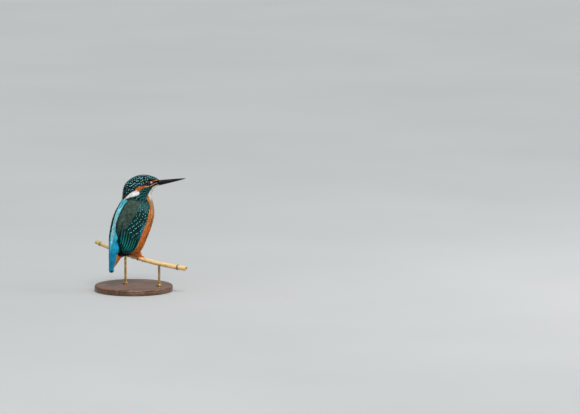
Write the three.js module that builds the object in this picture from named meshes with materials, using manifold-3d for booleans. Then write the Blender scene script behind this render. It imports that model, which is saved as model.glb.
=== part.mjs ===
// A common kingfisher at life size, sitting upright on a cut reed stem with its head turned to its
// right. A round base and two rods hold the stem. Millimetres, +Z up, the trunk faces +X.
import * as THREE from "three";
import { LoftGeometry } from "three/addons/geometries/LoftGeometry.js";
import { mergeVertices } from "three/addons/utils/BufferGeometryUtils.js";
import Module from "manifold-3d";

const wasm = await Module();
wasm.setup();
const { Vector3 } = THREE;
const { lerp, smoothstep, degToRad } = THREE.MathUtils;

// ---- Driving dimensions --------------------------------------------------------------------------
const GAP = 0.3; // clearance between neighbouring pieces
const STEM_TOP = 47; // height of the stem's upper side, midway between the feet
const STEM_TOP_X = 4; // how far ahead of the base's centre that point is
const HEAD_TURN = degToRad(-33); // the head looks to the bird's right
const NECK_X = 5; // the upright axis that the head turns about

const BILL_ROOT_X = 25; // inside the face
const BILL_BASE_X = 32; // where the feathers end on the bill
const BILL_TIP_X = 67.4;
const BILL_LINE_Z = 95.5; // the line between the two halves of the bill, at its root
const BILL_RISE = 0.175; // the bill points up by this slope
const BILL_UPPER_DEPTH = 3.7;
const BILL_LOWER_DEPTH = 3.1;
const BILL_HALF_WIDTH = 4.1;

const EYE_RADIUS = 3.4;
const EYE_AT = [15.5, 9.6, 97.8]; // ahead, aside and up, before the head is turned

const WING_OUTSIDE = 1.7; // how far a folded wing stands out of the flank
const WING_INSIDE = 1.5; // and how deep it lies in it
const TAIL_HALF_WIDTH = 6.8;
const TAIL_THICKNESS = 1.5;
const TAIL_TIP_Z = -20.3;

const STEM_RADIUS = 2.75; // at the feet
const STEM_TAPER = 0.0055; // it is thicker towards the bird's right
const STEM_HEADING = degToRad(-58); // the stem crosses under the bird at this angle to the trunk
const STEM_SLOPE = -0.222; // it drops towards the bird's right
const STEM_BEND = 0.0011; // and flattens out, by this much a millimetre
const STEM_ENDS = [-60, 74];
const STEM_KNOTS = [-53.5, 61.5]; // where the leaves grew
const KNOT_HEIGHT = 0.9;
const KNOT_WIDTH = 3.2;
const KNOT_SUNK = 0.05; // its ends lie this much under the stem's surface

const FOOT_SPREAD = 7; // each foot's distance along the stem from the middle
const TOE_RADIUS = 1.0;
const CLAW_LENGTH = 4.2;

const BASE_RADIUS = 52;
const BASE_THICKNESS = 8;
const BASE_CHAMFER = 1.2;
const ROD_RADIUS = 1.6;
const ROD_COLLAR = 3.6;
const ROD_PLACES = [-16, 34]; // along the stem

// ---- Solids --------------------------------------------------------------------------------------
// A closed three.js geometry as a solid that can be joined and cut.
function solidOf(geometry) {
  const bare = new THREE.BufferGeometry().copy(geometry);
  bare.deleteAttribute("normal");
  bare.deleteAttribute("uv");
  const merged = mergeVertices(bare, 1e-4);
  const vertProperties = new Float32Array(merged.attributes.position.array);
  const triVerts = new Uint32Array(merged.index.array);
  const made = new wasm.Manifold(new wasm.Mesh({ numProp: 3, vertProperties, triVerts }));
  if (made.volume() > 0) return made;
  for (let i = 0; i < triVerts.length; i += 3) {
    [triVerts[i], triVerts[i + 1]] = [triVerts[i + 1], triVerts[i]];
  }
  return new wasm.Manifold(new wasm.Mesh({ numProp: 3, vertProperties, triVerts }));
}

// A finished solid as a named mesh with its colour, roughness and metalness.
function piece(name, solid, color, roughness = 0.8, metalness = 0) {
  const { vertProperties, triVerts } = solid.getMesh();
  const geometry = new THREE.BufferGeometry();
  geometry.setAttribute("position", new THREE.BufferAttribute(new Float32Array(vertProperties), 3));
  geometry.setIndex(new THREE.BufferAttribute(triVerts, 1));
  geometry.computeVertexNormals();
  const mesh = new THREE.Mesh(geometry, new THREE.MeshStandardMaterial({ color, roughness, metalness }));
  mesh.name = name;
  return mesh;
}

// A loft through count + 1 sections, closed at both ends. The sections run counterclockwise about
// the way it goes.
function loft(count, section) {
  const sections = Array.from({ length: count + 1 }, (_, i) => section(i / count));
  const first = sections[0];
  const fromStart = (j) => first[j % first.length].clone().sub(first[0]);
  const normal = new Vector3();
  const ahead = new Vector3();
  first.forEach((point, j) => {
    normal.add(fromStart(j).cross(fromStart(j + 1)));
    ahead.add(sections[1][j]).sub(point);
  });
  if (normal.dot(ahead) < 0) for (const ring of sections) ring.reverse();
  return solidOf(new LoftGeometry(sections, { capStart: true, capEnd: true }));
}

// A round bar along a path, whose radius may change on the way.
function bar(path, radiusAt, steps, sides = 8) {
  const ring = (t) => {
    const centre = path(t);
    const ahead = path(t + 1e-3).sub(path(t - 1e-3)).normalize();
    const across = new Vector3(0, 0, 1).cross(ahead);
    if (across.length() < 1e-3) across.set(1, 0, 0);
    across.normalize();
    const over = ahead.clone().cross(across);
    return Array.from({ length: sides }, (_, j) => {
      const a = (j / sides) * 2 * Math.PI;
      return centre
        .clone()
        .addScaledVector(across, Math.cos(a) * radiusAt(t))
        .addScaledVector(over, Math.sin(a) * radiusAt(t));
    });
  };
  return loft(steps, ring);
}

// Everything on one side of a plane through `at`, which falls by `slope` forwards and is turned by `turn`.
const CUTTER_SIZE = 300;
function halfSpace(at, slope, turn, above) {
  const box = new THREE.BoxGeometry(CUTTER_SIZE, CUTTER_SIZE, CUTTER_SIZE);
  box.translate(0, 0, (above ? 1 : -1) * (CUTTER_SIZE / 2 + GAP / 2));
  box.rotateY(Math.atan(slope));
  box.rotateZ(turn);
  box.translate(...at);
  return solidOf(box);
}

// ---- The outline of the plumage ------------------------------------------------------------------
// Stations from the bill to the tips of the tail coverts, in the bird's middle plane before the head
// is turned: the point on the back, the point on the underside, half the width, and how much of the
// head's turn that station takes part in.
const OUTLINE = [
  { part: "bill base", back: [33.2, 99.9], under: [33.2, 94.0], half: 3.4, turn: 1 },
  { part: "lores", back: [28.0, 103.8], under: [27.5, 91.3], half: 7.0, turn: 1 },
  { part: "eye", back: [19.6, 106.9], under: [24.5, 88.2], half: 10.0, turn: 1 },
  { part: "crown", back: [11.0, 108.0], under: [22.8, 85.2], half: 12.3, turn: 1 },
  { part: "hind crown", back: [2.0, 106.7], under: [22.0, 82.6], half: 13.9, turn: 1 },
  { part: "occiput", back: [-6.3, 102.6], under: [21.7, 80.2], half: 14.8, turn: 0.96 },
  { part: "nape", back: [-13.6, 96.0], under: [21.8, 77.4], half: 15.4, turn: 0.82 },
  { part: "low nape", back: [-17.0, 87.5], under: [22.6, 74.0], half: 15.8, turn: 0.55 },
  { part: "neck", back: [-18.4, 79.5], under: [24.2, 69.0], half: 16.4, turn: 0.25 },
  { part: "shoulders", back: [-22.0, 71.5], under: [25.8, 62.0], half: 17.2, turn: 0.05 },
  { part: "chest", back: [-28.9, 60.0], under: [25.8, 52.5], half: 19.6, turn: 0 },
  { part: "middle", back: [-33.6, 48.0], under: [21.8, 40.0], half: 20.8, turn: 0 },
  { part: "belly", back: [-36.6, 34.0], under: [14.5, 23.8], half: 20.8, turn: 0 },
  { part: "flanks", back: [-38.8, 22.5], under: [3.6, 5.4], half: 18.8, turn: 0 },
  { part: "vent", back: [-40.0, 13.5], under: [-10.2, 1.8], half: 14.6, turn: 0 },
  { part: "rump", back: [-40.6, 5.5], under: [-23.6, -0.2], half: 10.2, turn: 0 },
  { part: "tail coverts", back: [-41.0, -3.5], under: [-30.0, -6.6], half: 7.6, turn: 0 },
  { part: "covert tips", back: [-40.9, -12.6], under: [-36.4, -14.6], half: 5.4, turn: 0 },
];
const SQUARENESS = 2.1; // 2 is an ellipse, and more is boxier
const OUTLINE_LENGTH = 150; // about how far it is along the outline
const stationOf = (part) => OUTLINE.findIndex((s) => s.part === part) / (OUTLINE.length - 1);
const backCurve = new THREE.CatmullRomCurve3(OUTLINE.map((s) => new Vector3(s.back[0], 0, s.back[1])));
const underCurve = new THREE.CatmullRomCurve3(OUTLINE.map((s) => new Vector3(s.under[0], 0, s.under[1])));
const sideCurve = new THREE.CatmullRomCurve3(OUTLINE.map((s) => new Vector3(s.half, s.turn, 0)));
for (const curve of [backCurve, underCurve, sideCurve]) curve.curveType = "catmullrom";

// Turns a point about the neck's axis, by a share of the head's turn.
function turned(point, share) {
  const angle = HEAD_TURN * share;
  const x = point.x - NECK_X;
  return new Vector3(
    NECK_X + x * Math.cos(angle) - point.y * Math.sin(angle),
    x * Math.sin(angle) + point.y * Math.cos(angle),
    point.z,
  );
}
const onHead = (x, y, z) => turned(new Vector3(x, y, z), 1);

// The point on the plumage at t along the outline, at an angle from the back (0) by the side (90
// degrees) to the underside, lifted off the surface.
const squared = (c) => Math.sign(c) * Math.abs(c) ** (2 / SQUARENESS);
function plumagePoint(t, angle, lift = 0) {
  const back = backCurve.getPoint(t);
  const under = underCurve.getPoint(t);
  const { x: half, y: turn } = sideCurve.getPoint(t);
  const centre = back.clone().add(under).multiplyScalar(0.5);
  const depth = back.clone().sub(under).multiplyScalar(0.5);
  const reach = depth.length();
  centre.addScaledVector(depth, squared(Math.cos(angle)) * (1 + lift / reach));
  centre.y += squared(Math.sin(angle)) * (half + lift);
  return turned(centre, turn);
}

const BODY_STEPS = 33;
const BODY_SIDES = 26;
const body = loft(BODY_STEPS, (t) =>
  Array.from({ length: BODY_SIDES }, (_, j) => plumagePoint(t, (j / BODY_SIDES) * 2 * Math.PI)),
);

// ---- Folded wings --------------------------------------------------------------------------------
// A wing is a blade on the flank from the shoulder to the rump. Its rear edge runs beside the blue
// back, and its front edge down the side of the breast.
const WING = [
  { share: 0.0, rear: 36, front: 92, thick: 0.35 },
  { share: 0.1, rear: 18, front: 114, thick: 0.8 },
  { share: 0.3, rear: 12, front: 110, thick: 1 },
  { share: 0.5, rear: 12, front: 104, thick: 1 },
  { share: 0.62, rear: 26, front: 103, thick: 0.95 },
  { share: 0.74, rear: 42, front: 103, thick: 0.9 },
  { share: 0.86, rear: 52, front: 109, thick: 0.8 },
  { share: 0.94, rear: 58, front: 107, thick: 0.65 },
  { share: 1.0, rear: 66, front: 88, thick: 0.45 },
];
const WING_START = stationOf("neck") + 0.022;
const WING_END = stationOf("rump") - 0.012;
const WING_STEPS = 18;
const WING_ACROSS = 7;
const WING_EDGE = 0.25; // the share of its thickness that a wing keeps at its edges
const FLANK_RADIUS = 20; // turns a clearance at those edges into an angle

// One value of the wing's table at a share of its length.
function wingValue(share, key) {
  const next = Math.max(1, WING.findIndex((w) => w.share >= share));
  const [a, b] = [WING[next - 1], WING[next]];
  return lerp(a[key], b[key], smoothstep(share, a.share, b.share));
}

// A wing, or the room for it when it is grown by a clearance on every side.
function wing(side, grow) {
  const edge = grow / FLANK_RADIUS;
  const end = grow / OUTLINE_LENGTH;
  return loft(WING_STEPS, (share) => {
    const t = lerp(WING_START - end, WING_END + end, share);
    const rear = degToRad(wingValue(share, "rear")) - edge;
    const front = degToRad(wingValue(share, "front")) + edge;
    const thick = wingValue(share, "thick");
    const layer = (q, reach) => {
      const crown = Math.sin(Math.PI * q) ** 0.8;
      const lift = reach * thick * (WING_EDGE + (1 - WING_EDGE) * crown) + Math.sign(reach) * grow;
      return plumagePoint(t, side * lerp(rear, front, q), lift);
    };
    const steps = Array.from({ length: WING_ACROSS + 1 }, (_, j) => j / WING_ACROSS);
    const outside = steps.map((q) => layer(q, WING_OUTSIDE));
    const inside = steps.map((q) => layer(1 - q, -WING_INSIDE));
    return [...outside, ...inside];
  });
}
const SIDES = { right: -1, left: 1 };

// ---- Tail ----------------------------------------------------------------------------------------
// The closed tail is a flat fan that hangs straight down, with a slightly rounded tip.
const TAIL_TOP_Z = 3;
const TAIL_X = -39.6;
const TAIL_LEAN = -0.1; // how far its tip hangs behind its root
const TAIL_ASIDE = 0.6; // and to the bird's left
const TAIL_NARROWING = [0.97, 0.9];
const TAIL_THINNING = [1, 0.7];
const TAIL_ROUNDING = 3; // the outer feathers end this much higher
const TAIL_ARCH = 1.1; // and lie this much further forward
const TAIL_STEPS = 6;
const TAIL_ACROSS = 6;
function tailFan() {
  return loft(TAIL_STEPS, (share) => {
    const half = TAIL_HALF_WIDTH * lerp(...TAIL_NARROWING, share);
    const edge = (q, out) => {
      const across = 2 * q - 1;
      const z = lerp(TAIL_TOP_Z, TAIL_TIP_Z, share) + TAIL_ROUNDING * Math.abs(across) ** 3 * share;
      const thick = TAIL_THICKNESS * lerp(...TAIL_THINNING, share) * (1 - 0.5 * across ** 2);
      const x = TAIL_X + TAIL_LEAN * share + TAIL_ARCH * across ** 2 + (out * thick) / 2;
      return new Vector3(x, half * across + TAIL_ASIDE * share, z);
    };
    const steps = Array.from({ length: TAIL_ACROSS + 1 }, (_, j) => j / TAIL_ACROSS);
    return [...steps.map((q) => edge(q, -1)), ...steps.map((q) => edge(1 - q, 1))];
  });
}

// ---- Bill and eyes -------------------------------------------------------------------------------
// Each half of the bill is half an ellipse in section, flat where the two halves close.
const BILL_STEPS = 9;
const BILL_SIDES = 8;
const BILL_TAPER = 0.74; // 1 is a straight cone, and less is fuller
const BILL_TIP_SHARE = 0.05; // of the base's size, where it ends
function billHalf(depth, sign, tipX, grow) {
  return loft(BILL_STEPS, (share) => {
    const x = lerp(BILL_ROOT_X - grow, tipX + grow, share ** 0.9);
    const along = Math.max(0, (x - BILL_BASE_X) / (BILL_TIP_X - BILL_BASE_X));
    const taper = Math.max(BILL_TIP_SHARE, (1 - Math.min(along, 1)) ** BILL_TAPER);
    const line = BILL_LINE_Z + BILL_RISE * (x - BILL_ROOT_X) + sign * (GAP / 2 - grow);
    return Array.from({ length: BILL_SIDES + 1 }, (_, j) => {
      const a = (j / BILL_SIDES) * Math.PI;
      const y = Math.cos(a) * (BILL_HALF_WIDTH * taper + grow);
      return onHead(x, y, line + sign * Math.sin(a) ** 0.85 * (depth * taper + 2 * grow));
    });
  });
}
const billUpper = (grow) => billHalf(BILL_UPPER_DEPTH, 1, BILL_TIP_X, grow);
const billLower = (grow) => billHalf(BILL_LOWER_DEPTH, -1, BILL_TIP_X - 0.9, grow);

function eyeball(side, grow) {
  const ball = new THREE.SphereGeometry(EYE_RADIUS + grow, 14, 8);
  const [x, y, z] = EYE_AT;
  ball.translate(...onHead(x, side * y, z).toArray());
  return solidOf(ball);
}

// ---- Stem ----------------------------------------------------------------------------------------
const stemDirection = new Vector3(Math.cos(STEM_HEADING), Math.sin(STEM_HEADING), 0);
const stemAxis = (along) =>
  stemDirection
    .clone()
    .multiplyScalar(along)
    .setZ(-STEM_RADIUS + STEM_SLOPE * along + STEM_BEND * along * along);
const stemRadius = (along) => STEM_RADIUS + STEM_TAPER * along;
const STEM_SIDES = 12;
function stemLength(start, end, swell, steps) {
  const place = (t) => lerp(start, end, t);
  const radius = (t) => stemRadius(place(t)) + swell(t);
  return bar((t) => stemAxis(place(t)), radius, steps, STEM_SIDES);
}

function stem(grow) {
  let joined = stemLength(STEM_ENDS[0], STEM_ENDS[1], () => grow, 12);
  for (const knot of STEM_KNOTS) {
    const swell = (t) => grow + KNOT_HEIGHT * Math.sin(t * Math.PI) - KNOT_SUNK;
    joined = joined.add(stemLength(knot - KNOT_WIDTH / 2, knot + KNOT_WIDTH / 2, swell, 4));
  }
  return joined;
}

// ---- Legs and claws ------------------------------------------------------------------------------
// Three toes go over the stem's far side, and the hind toe slants down its near side. `from` and `over`
// are the angles round the stem at which a toe begins and ends, `along` is how far it drifts along the
// stem, and `root` and `aside` are how far its root and its tip stand beside the middle toe.
const TOES = [
  { name: "inner", from: -8, over: 92, along: 0.6, aside: -2.7, root: -1.4 },
  { name: "middle", from: -12, over: 122, along: 1.0, aside: 0, root: 0 },
  { name: "outer", from: -8, over: 108, along: 1.0, aside: 2.6, root: 1.4 },
  { name: "hind", from: 6, over: -84, along: -3.2, aside: 0, root: 0 },
];
const STEM_UP = new Vector3(0, 0, 1);
const stemAcross = STEM_UP.clone().cross(stemDirection).normalize(); // away to the bird's front
function roundStem(along, angle, radius) {
  return stemAxis(along)
    .addScaledVector(STEM_UP, Math.cos(angle) * radius)
    .addScaledVector(stemAcross, Math.sin(angle) * radius);
}

const TOE_REACH = STEM_RADIUS + TOE_RADIUS + GAP + 0.1; // from the stem's middle to a toe's
const toePath = (side, toe) => (t) =>
  roundStem(
    -side * (FOOT_SPREAD + lerp(toe.root, toe.aside, t)) + toe.along * t,
    degToRad(lerp(toe.from, toe.over, t)),
    TOE_REACH,
  );
const TOE_PADS = 3;
const toeRadius = (t) => TOE_RADIUS * (1 - 0.2 * t) * (1 + 0.09 * Math.cos(t * TOE_PADS * 2 * Math.PI));

const CLAW_SWING = CLAW_LENGTH / (STEM_RADIUS + TOE_RADIUS);
const CLAW_START = 0.14; // radians past the toe's end
const CLAW_ARCH = 0.35;
const CLAW_DROP = 0.25;
const clawPath = (side, toe) => (t) =>
  roundStem(
    -side * (FOOT_SPREAD + toe.aside) + toe.along * (1 + 0.3 * t),
    degToRad(toe.over) + Math.sign(toe.over) * (CLAW_SWING * t + CLAW_START),
    STEM_RADIUS + TOE_RADIUS + GAP + CLAW_ARCH * Math.sin(t * Math.PI) - CLAW_DROP * t,
  );
const CLAW_RADIUS = 0.72;
const CLAW_POINT = 0.12;
const clawRadius = (t) => CLAW_RADIUS * (1 - t) ** 0.8 + CLAW_POINT;

// The shank comes out of the belly feathers just behind the toes.
const SHANK_BACK = 9.5;
const SHANK_RISE = 12.5;
const SHANK_RADII = [1.15, 1.9];
function shank(side, grow) {
  const foot = roundStem(-side * FOOT_SPREAD, 0, STEM_RADIUS + TOE_RADIUS + 0.5);
  const knee = new Vector3(foot.x - SHANK_BACK, foot.y * 0.95, foot.z + SHANK_RISE);
  return bar((t) => foot.clone().lerp(knee, t), (t) => lerp(...SHANK_RADII, t) + grow, 3, 8);
}
function leg(side, grow) {
  let joined = shank(side, grow);
  for (const toe of TOES) {
    joined = joined.add(bar(toePath(side, toe), (t) => toeRadius(t) + grow, 7, 6));
  }
  return joined;
}

// ---- Stand ---------------------------------------------------------------------------------------
const BASE_TOP = BASE_THICKNESS - STEM_TOP; // the stand is drawn from the stem's upper side too
function baseDisc() {
  const profile = [
    [0, 0],
    [BASE_RADIUS - BASE_CHAMFER / 2, 0],
    [BASE_RADIUS, BASE_CHAMFER / 2],
    [BASE_RADIUS, BASE_THICKNESS - BASE_CHAMFER],
    [BASE_RADIUS - BASE_CHAMFER, BASE_THICKNESS],
    [0, BASE_THICKNESS],
  ].map(([r, y]) => new THREE.Vector2(r, y));
  const disc = new THREE.LatheGeometry(profile, 40);
  disc.rotateX(Math.PI / 2);
  disc.translate(-STEM_TOP_X, 0, -STEM_TOP);
  return solidOf(disc);
}

// A rod with a small collar stands on the base, and its top is hollowed to the stem.
const COLLAR_HEIGHT = 1.6;
const COLLAR_BEVEL = 0.7;
function rod(along) {
  const top = stemAxis(along).z + GAP - BASE_TOP;
  const profile = [
    [0, GAP / 6],
    [ROD_COLLAR, GAP / 6],
    [ROD_COLLAR, COLLAR_HEIGHT],
    [ROD_COLLAR - COLLAR_BEVEL, COLLAR_HEIGHT + COLLAR_BEVEL * 0.9],
    [ROD_RADIUS, COLLAR_HEIGHT + COLLAR_BEVEL * 1.2],
    [ROD_RADIUS, top],
    [0, top],
  ].map(([r, y]) => new THREE.Vector2(r, y));
  const turnedRod = new THREE.LatheGeometry(profile, 16);
  turnedRod.rotateX(Math.PI / 2);
  const { x, y } = stemAxis(along);
  turnedRod.translate(x, y, BASE_TOP);
  return solidOf(turnedRod).subtract(stem(GAP));
}

// ---- Putting it together -------------------------------------------------------------------------
const HEAD_CUT = [[3, 0, 87], 0.26, HEAD_TURN * 0.6];
const NECK_CUT = [[2.5, 0, 77], 0.25, 0];
const TAIL_CUT = [[-33.7, 0, -1.4], 0.24, 0];

const colours = {
  crown: 0x0f4f57,
  back: 0x3f9fc4,
  wing: 0x15504f,
  tail: 0x0f6d9c,
  bill: 0x0b0b0c,
  eye: 0x120c08,
  foot: 0xd0502a,
  claw: 0x1d1a18,
  reed: 0xd9bd8c,
  wood: 0x5b3a22,
  brass: 0xb08d4a,
};

const bird = new THREE.Group();
const stand = new THREE.Group();

let head = body.intersect(halfSpace(...HEAD_CUT, true));
let trunk = body.intersect(halfSpace(...NECK_CUT, false)).intersect(halfSpace(...TAIL_CUT, true));
const neck = body.intersect(halfSpace(...HEAD_CUT, false)).intersect(halfSpace(...NECK_CUT, true));
const tail = body.add(tailFan()).intersect(halfSpace(...TAIL_CUT, false));

head = head.subtract(billUpper(GAP)).subtract(billLower(GAP));
for (const [sideName, side] of Object.entries(SIDES)) {
  head = head.subtract(eyeball(side, GAP));
  trunk = trunk.subtract(wing(side, GAP)).subtract(leg(side, GAP));
  bird.add(piece(`eye_${sideName}`, eyeball(side, 0), colours.eye, 0.08));
  bird.add(piece(`wing_${sideName}`, wing(side, 0), colours.wing));
  bird.add(piece(`leg_${sideName}`, leg(side, 0), colours.foot, 0.6));
  for (const toe of TOES) {
    const claw = bar(clawPath(side, toe), clawRadius, 5, 5);
    bird.add(piece(`claw_${sideName}_${toe.name}`, claw, colours.claw, 0.4));
  }
}
bird.add(
  piece("head", head, colours.crown),
  piece("neck", neck, colours.crown),
  piece("trunk", trunk, colours.back),
  piece("tail", tail, colours.tail),
  piece("bill_upper", billUpper(0), colours.bill, 0.35),
  piece("bill_lower", billLower(0), colours.bill, 0.35),
);
stand.add(piece("perch_reed", stem(0), colours.reed, 0.6));
stand.add(piece("stand_base", baseDisc(), colours.wood, 0.45));
ROD_PLACES.forEach((along, i) => {
  stand.add(piece(`stand_rod_${i + 1}`, rod(along), colours.brass, 0.3, 1));
});

const kingfisher = new THREE.Group();
kingfisher.add(bird, stand);
kingfisher.position.set(STEM_TOP_X, 0, STEM_TOP);
export default kingfisher;
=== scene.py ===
import math

import bmesh
import bpy
import numpy as np
from mathutils import Matrix, Vector


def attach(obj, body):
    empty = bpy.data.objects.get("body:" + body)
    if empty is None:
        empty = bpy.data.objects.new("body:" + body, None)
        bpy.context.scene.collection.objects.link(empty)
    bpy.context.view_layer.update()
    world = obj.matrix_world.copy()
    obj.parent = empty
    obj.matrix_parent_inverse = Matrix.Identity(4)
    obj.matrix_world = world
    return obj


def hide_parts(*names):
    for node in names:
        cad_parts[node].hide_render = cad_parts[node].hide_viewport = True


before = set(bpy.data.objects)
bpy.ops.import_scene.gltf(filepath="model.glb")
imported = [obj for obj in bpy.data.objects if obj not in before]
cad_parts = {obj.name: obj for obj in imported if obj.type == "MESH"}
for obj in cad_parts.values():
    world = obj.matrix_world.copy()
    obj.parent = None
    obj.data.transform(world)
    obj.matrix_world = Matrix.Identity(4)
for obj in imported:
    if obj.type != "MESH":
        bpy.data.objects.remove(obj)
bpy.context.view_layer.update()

# ---- The stand's base ---------------------------------------------------------------------------
# A hardwood disc turned on a lathe, with a bead under its top edge, oiled and waxed. The two rods
# are let into its top. All sizes are millimetres, from the top of the reed between the bird's feet.
MM = 0.001
REED_TOP = Vector((4.0, 0.0, 47.0))  # from the middle of the stand, on the floor
BASE_RADIUS = 52.0
BASE_THICKNESS = 8.0
BASE_EDGE = 1.2
BEAD_RADIUS = 0.9
BEAD_HEIGHT = 4.1
SHOULDER_RADIUS = 2.1
SHOULDER_SETBACK = 0.1
FLOOR = -REED_TOP.z
random = np.random.default_rng(7)


def settle(shape, name, material, replaced=(), sharp=40):
    """Welds a shape drawn in millimetres, moves it to its place and makes it a piece of the model."""
    bmesh.ops.remove_doubles(shape, verts=shape.verts, dist=1e-4)
    bmesh.ops.recalc_face_normals(shape, faces=shape.faces)
    bmesh.ops.transform(shape, matrix=Matrix.Translation(REED_TOP), verts=shape.verts)
    bmesh.ops.scale(shape, vec=(MM, MM, MM), verts=shape.verts)
    mesh = bpy.data.meshes.new(name)
    shape.to_mesh(mesh)
    shape.free()
    return show(mesh, name, material, replaced, sharp)


def show(mesh, name, material, replaced=(), sharp=180):
    """Makes a mesh that is in its place a piece of the model, with its finish."""
    mesh.materials.append(material)
    mesh.shade_smooth()
    if sharp < 180:
        mesh.set_sharp_from_angle(angle=math.radians(sharp))
    made = bpy.data.objects.new(name, mesh)
    bpy.context.scene.collection.objects.link(made)
    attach(made, "root")
    if replaced:
        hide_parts(*replaced)
    return made


def plug(material, node, inputs):
    """Gives each input of a node its value, or the output that it reads."""
    for key, value in inputs.items():
        if isinstance(value, bpy.types.NodeSocket):
            material.node_tree.links.new(value, node.inputs[key])
        else:
            node.inputs[key].default_value = value
    return node


def add(material, kind, inputs, **settings):
    """A new node of a material."""
    made = material.node_tree.nodes.new("ShaderNode" + kind)
    for key, value in settings.items():
        setattr(made, key, value)
    return plug(material, made, inputs)


def surface(material, **inputs):
    """Sets the finish of a surface: Base_Color stands for the input called Base Color."""
    shader = material.node_tree.nodes["Principled BSDF"]
    plug(material, shader, {key.replace("_", " "): value for key, value in inputs.items()})


def finish(name, roughness, metallic=0.0):
    """A new material."""
    material = bpy.data.materials.new(name)
    material.use_nodes = True
    surface(material, Roughness=roughness, Metallic=metallic)
    return material


def place_on(material, stretch=(1, 1, 1)):
    """The object's own coordinates, stretched for a pattern with a direction."""
    where = add(material, "TexCoord", {}).outputs["Object"]
    return add(material, "Mapping", {"Vector": where, "Scale": stretch}).outputs["Vector"]


def noise(material, where, scale, detail=2.0, **more):
    """A cloudy pattern, from 0 to 1."""
    inputs = {"Vector": where, "Scale": scale, "Detail": detail, **more}
    return add(material, "TexNoise", inputs).outputs["Fac"]


def mixed(material, share, first, second, blend_type="MIX"):
    """Two colours, mixed by a share of the second."""
    inputs = {"Fac": share, "Color1": first, "Color2": second}
    return add(material, "MixRGB", inputs, blend_type=blend_type).outputs["Color"]


def ranged(material, value, limits, results, **settings):
    """Reads a value between two limits as one between two results."""
    inputs = {"Value": value, "From Min": limits[0], "From Max": limits[1]}
    inputs.update({"To Min": results[0], "To Max": results[1]})
    return add(material, "MapRange", inputs, **settings).outputs["Result"]


def embossed(material, height, strength, depth):
    """A surface raised by a pattern, up to a depth in metres."""
    inputs = {"Height": height, "Strength": strength, "Distance": depth}
    return add(material, "Bump", inputs).outputs["Normal"]


def linear(red, green, blue):
    """A screen colour, 0 to 255 a channel, as light."""
    return tuple(((c / 255 + 0.055) / 1.055) ** 2.4 if c > 10 else c / 3295 for c in (red, green, blue))


def opaque(*colour):
    return (*linear(*colour), 1)


def blend_colours(material, factor, stops):
    """A ramp from one screen colour to the next."""
    ramp = add(material, "ValToRGB", {"Fac": factor})
    bands = ramp.color_ramp.elements
    while len(bands) < len(stops):
        bands.new(0.5)
    for band, (at, colour) in zip(bands, stops):
        band.position = at
        band.color = opaque(*colour)
    return ramp.outputs["Color"]


def spin_round(shape, outline, steps):
    """Sweeps an outline once round the upright axis."""
    full_turn = 2 * math.pi
    bmesh.ops.spin(
        shape, geom=outline, axis=(0, 0, 1), cent=(0, 0, 0), angle=full_turn, steps=steps, use_merge=True
    )
    bmesh.ops.remove_doubles(shape, verts=shape.verts, dist=1e-4)


def turned_on_lathe(profile, steps, centre=(0, 0, 0)):
    """A solid of revolution about an upright axis, from its profile as (radius, height) points."""
    shape = bmesh.new()
    line = [shape.verts.new((r, 0, z)) for r, z in profile]
    spin_round(shape, line + [shape.edges.new(pair) for pair in zip(line, line[1:])], steps)
    bmesh.ops.translate(shape, vec=centre, verts=shape.verts)
    return shape


def rounded(centre, radius, start, end, steps=6):
    """Points of a quarter or half round on a profile."""
    turns = (math.radians(start + (end - start) * i / steps) for i in range(steps + 1))
    return [(centre[0] + radius * math.cos(t), centre[1] + radius * math.sin(t)) for t in turns]


wood = finish("oiled_hardwood", 0.42)
figure = noise(wood, place_on(wood, (14, 150, 60)), 3.0, 6.0, Distortion=0.6)
pores = noise(wood, place_on(wood, (90, 2200, 2200)), 1.0, 3.0)
wood_colour = blend_colours(wood, figure, [(0.32, (62, 38, 23)), (0.5, (96, 61, 37)), (0.68, (128, 86, 54))])
pore_shade = blend_colours(wood, pores, [(0.36, (140, 128, 118)), (0.5, (255, 255, 255))])
surface(
    wood,
    Base_Color=mixed(wood, 0.7, wood_colour, pore_shade, "MULTIPLY"),
    Normal=embossed(wood, pores, 0.25, 0.0001),
    Coat_Weight=0.25,
    Coat_Roughness=0.3,
)

base_profile = [(0, FLOOR), (BASE_RADIUS - BASE_EDGE - 0.2, FLOOR)]
base_profile += rounded((BASE_RADIUS - BASE_EDGE, FLOOR + BASE_EDGE), BASE_EDGE, -80, 0)
base_profile += rounded((BASE_RADIUS - BEAD_RADIUS, FLOOR + BEAD_HEIGHT), BEAD_RADIUS, -20, 75)
shoulder = (BASE_RADIUS - SHOULDER_SETBACK - SHOULDER_RADIUS, FLOOR + BASE_THICKNESS - SHOULDER_RADIUS)
base_profile += rounded(shoulder, SHOULDER_RADIUS, 0, 90)
base_profile += [(0, FLOOR + BASE_THICKNESS)]
base_disc = turned_on_lathe(base_profile, 120, (-REED_TOP.x, 0, 0))
settle(base_disc, "base", wood, ["stand_base"], sharp=32)

# ---- The reed -----------------------------------------------------------------------------------
# A dead reed stem, hollow between its knots, cut off square at both ends. It crosses under the bird
# and sags to its right. Dry, straw coloured, finely ribbed, with the stub of a leaf at each knot.
STEM_RADIUS = 2.75
STEM_TAPER = 0.0055
STEM_HEADING = math.radians(-58)
STEM_SLOPE = -0.222
STEM_BEND = 0.0011
STEM_ENDS = (-60.0, 74.0)
STEM_KNOTS = (-53.5, 61.5)
KNOT_HEIGHT = 0.9
RIBS = 22
RIB_DEPTH = 0.03
STEM_WALL = 0.6
HOLLOW_DEPTH = 3.5
UP = np.array([0.0, 0.0, 1.0])
STEM_AHEAD = np.array([math.cos(STEM_HEADING), math.sin(STEM_HEADING), 0.0])
STEM_ACROSS = np.cross(UP, STEM_AHEAD)


def unit(vectors):
    return vectors / np.linalg.norm(vectors, axis=-1, keepdims=True)


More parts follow.
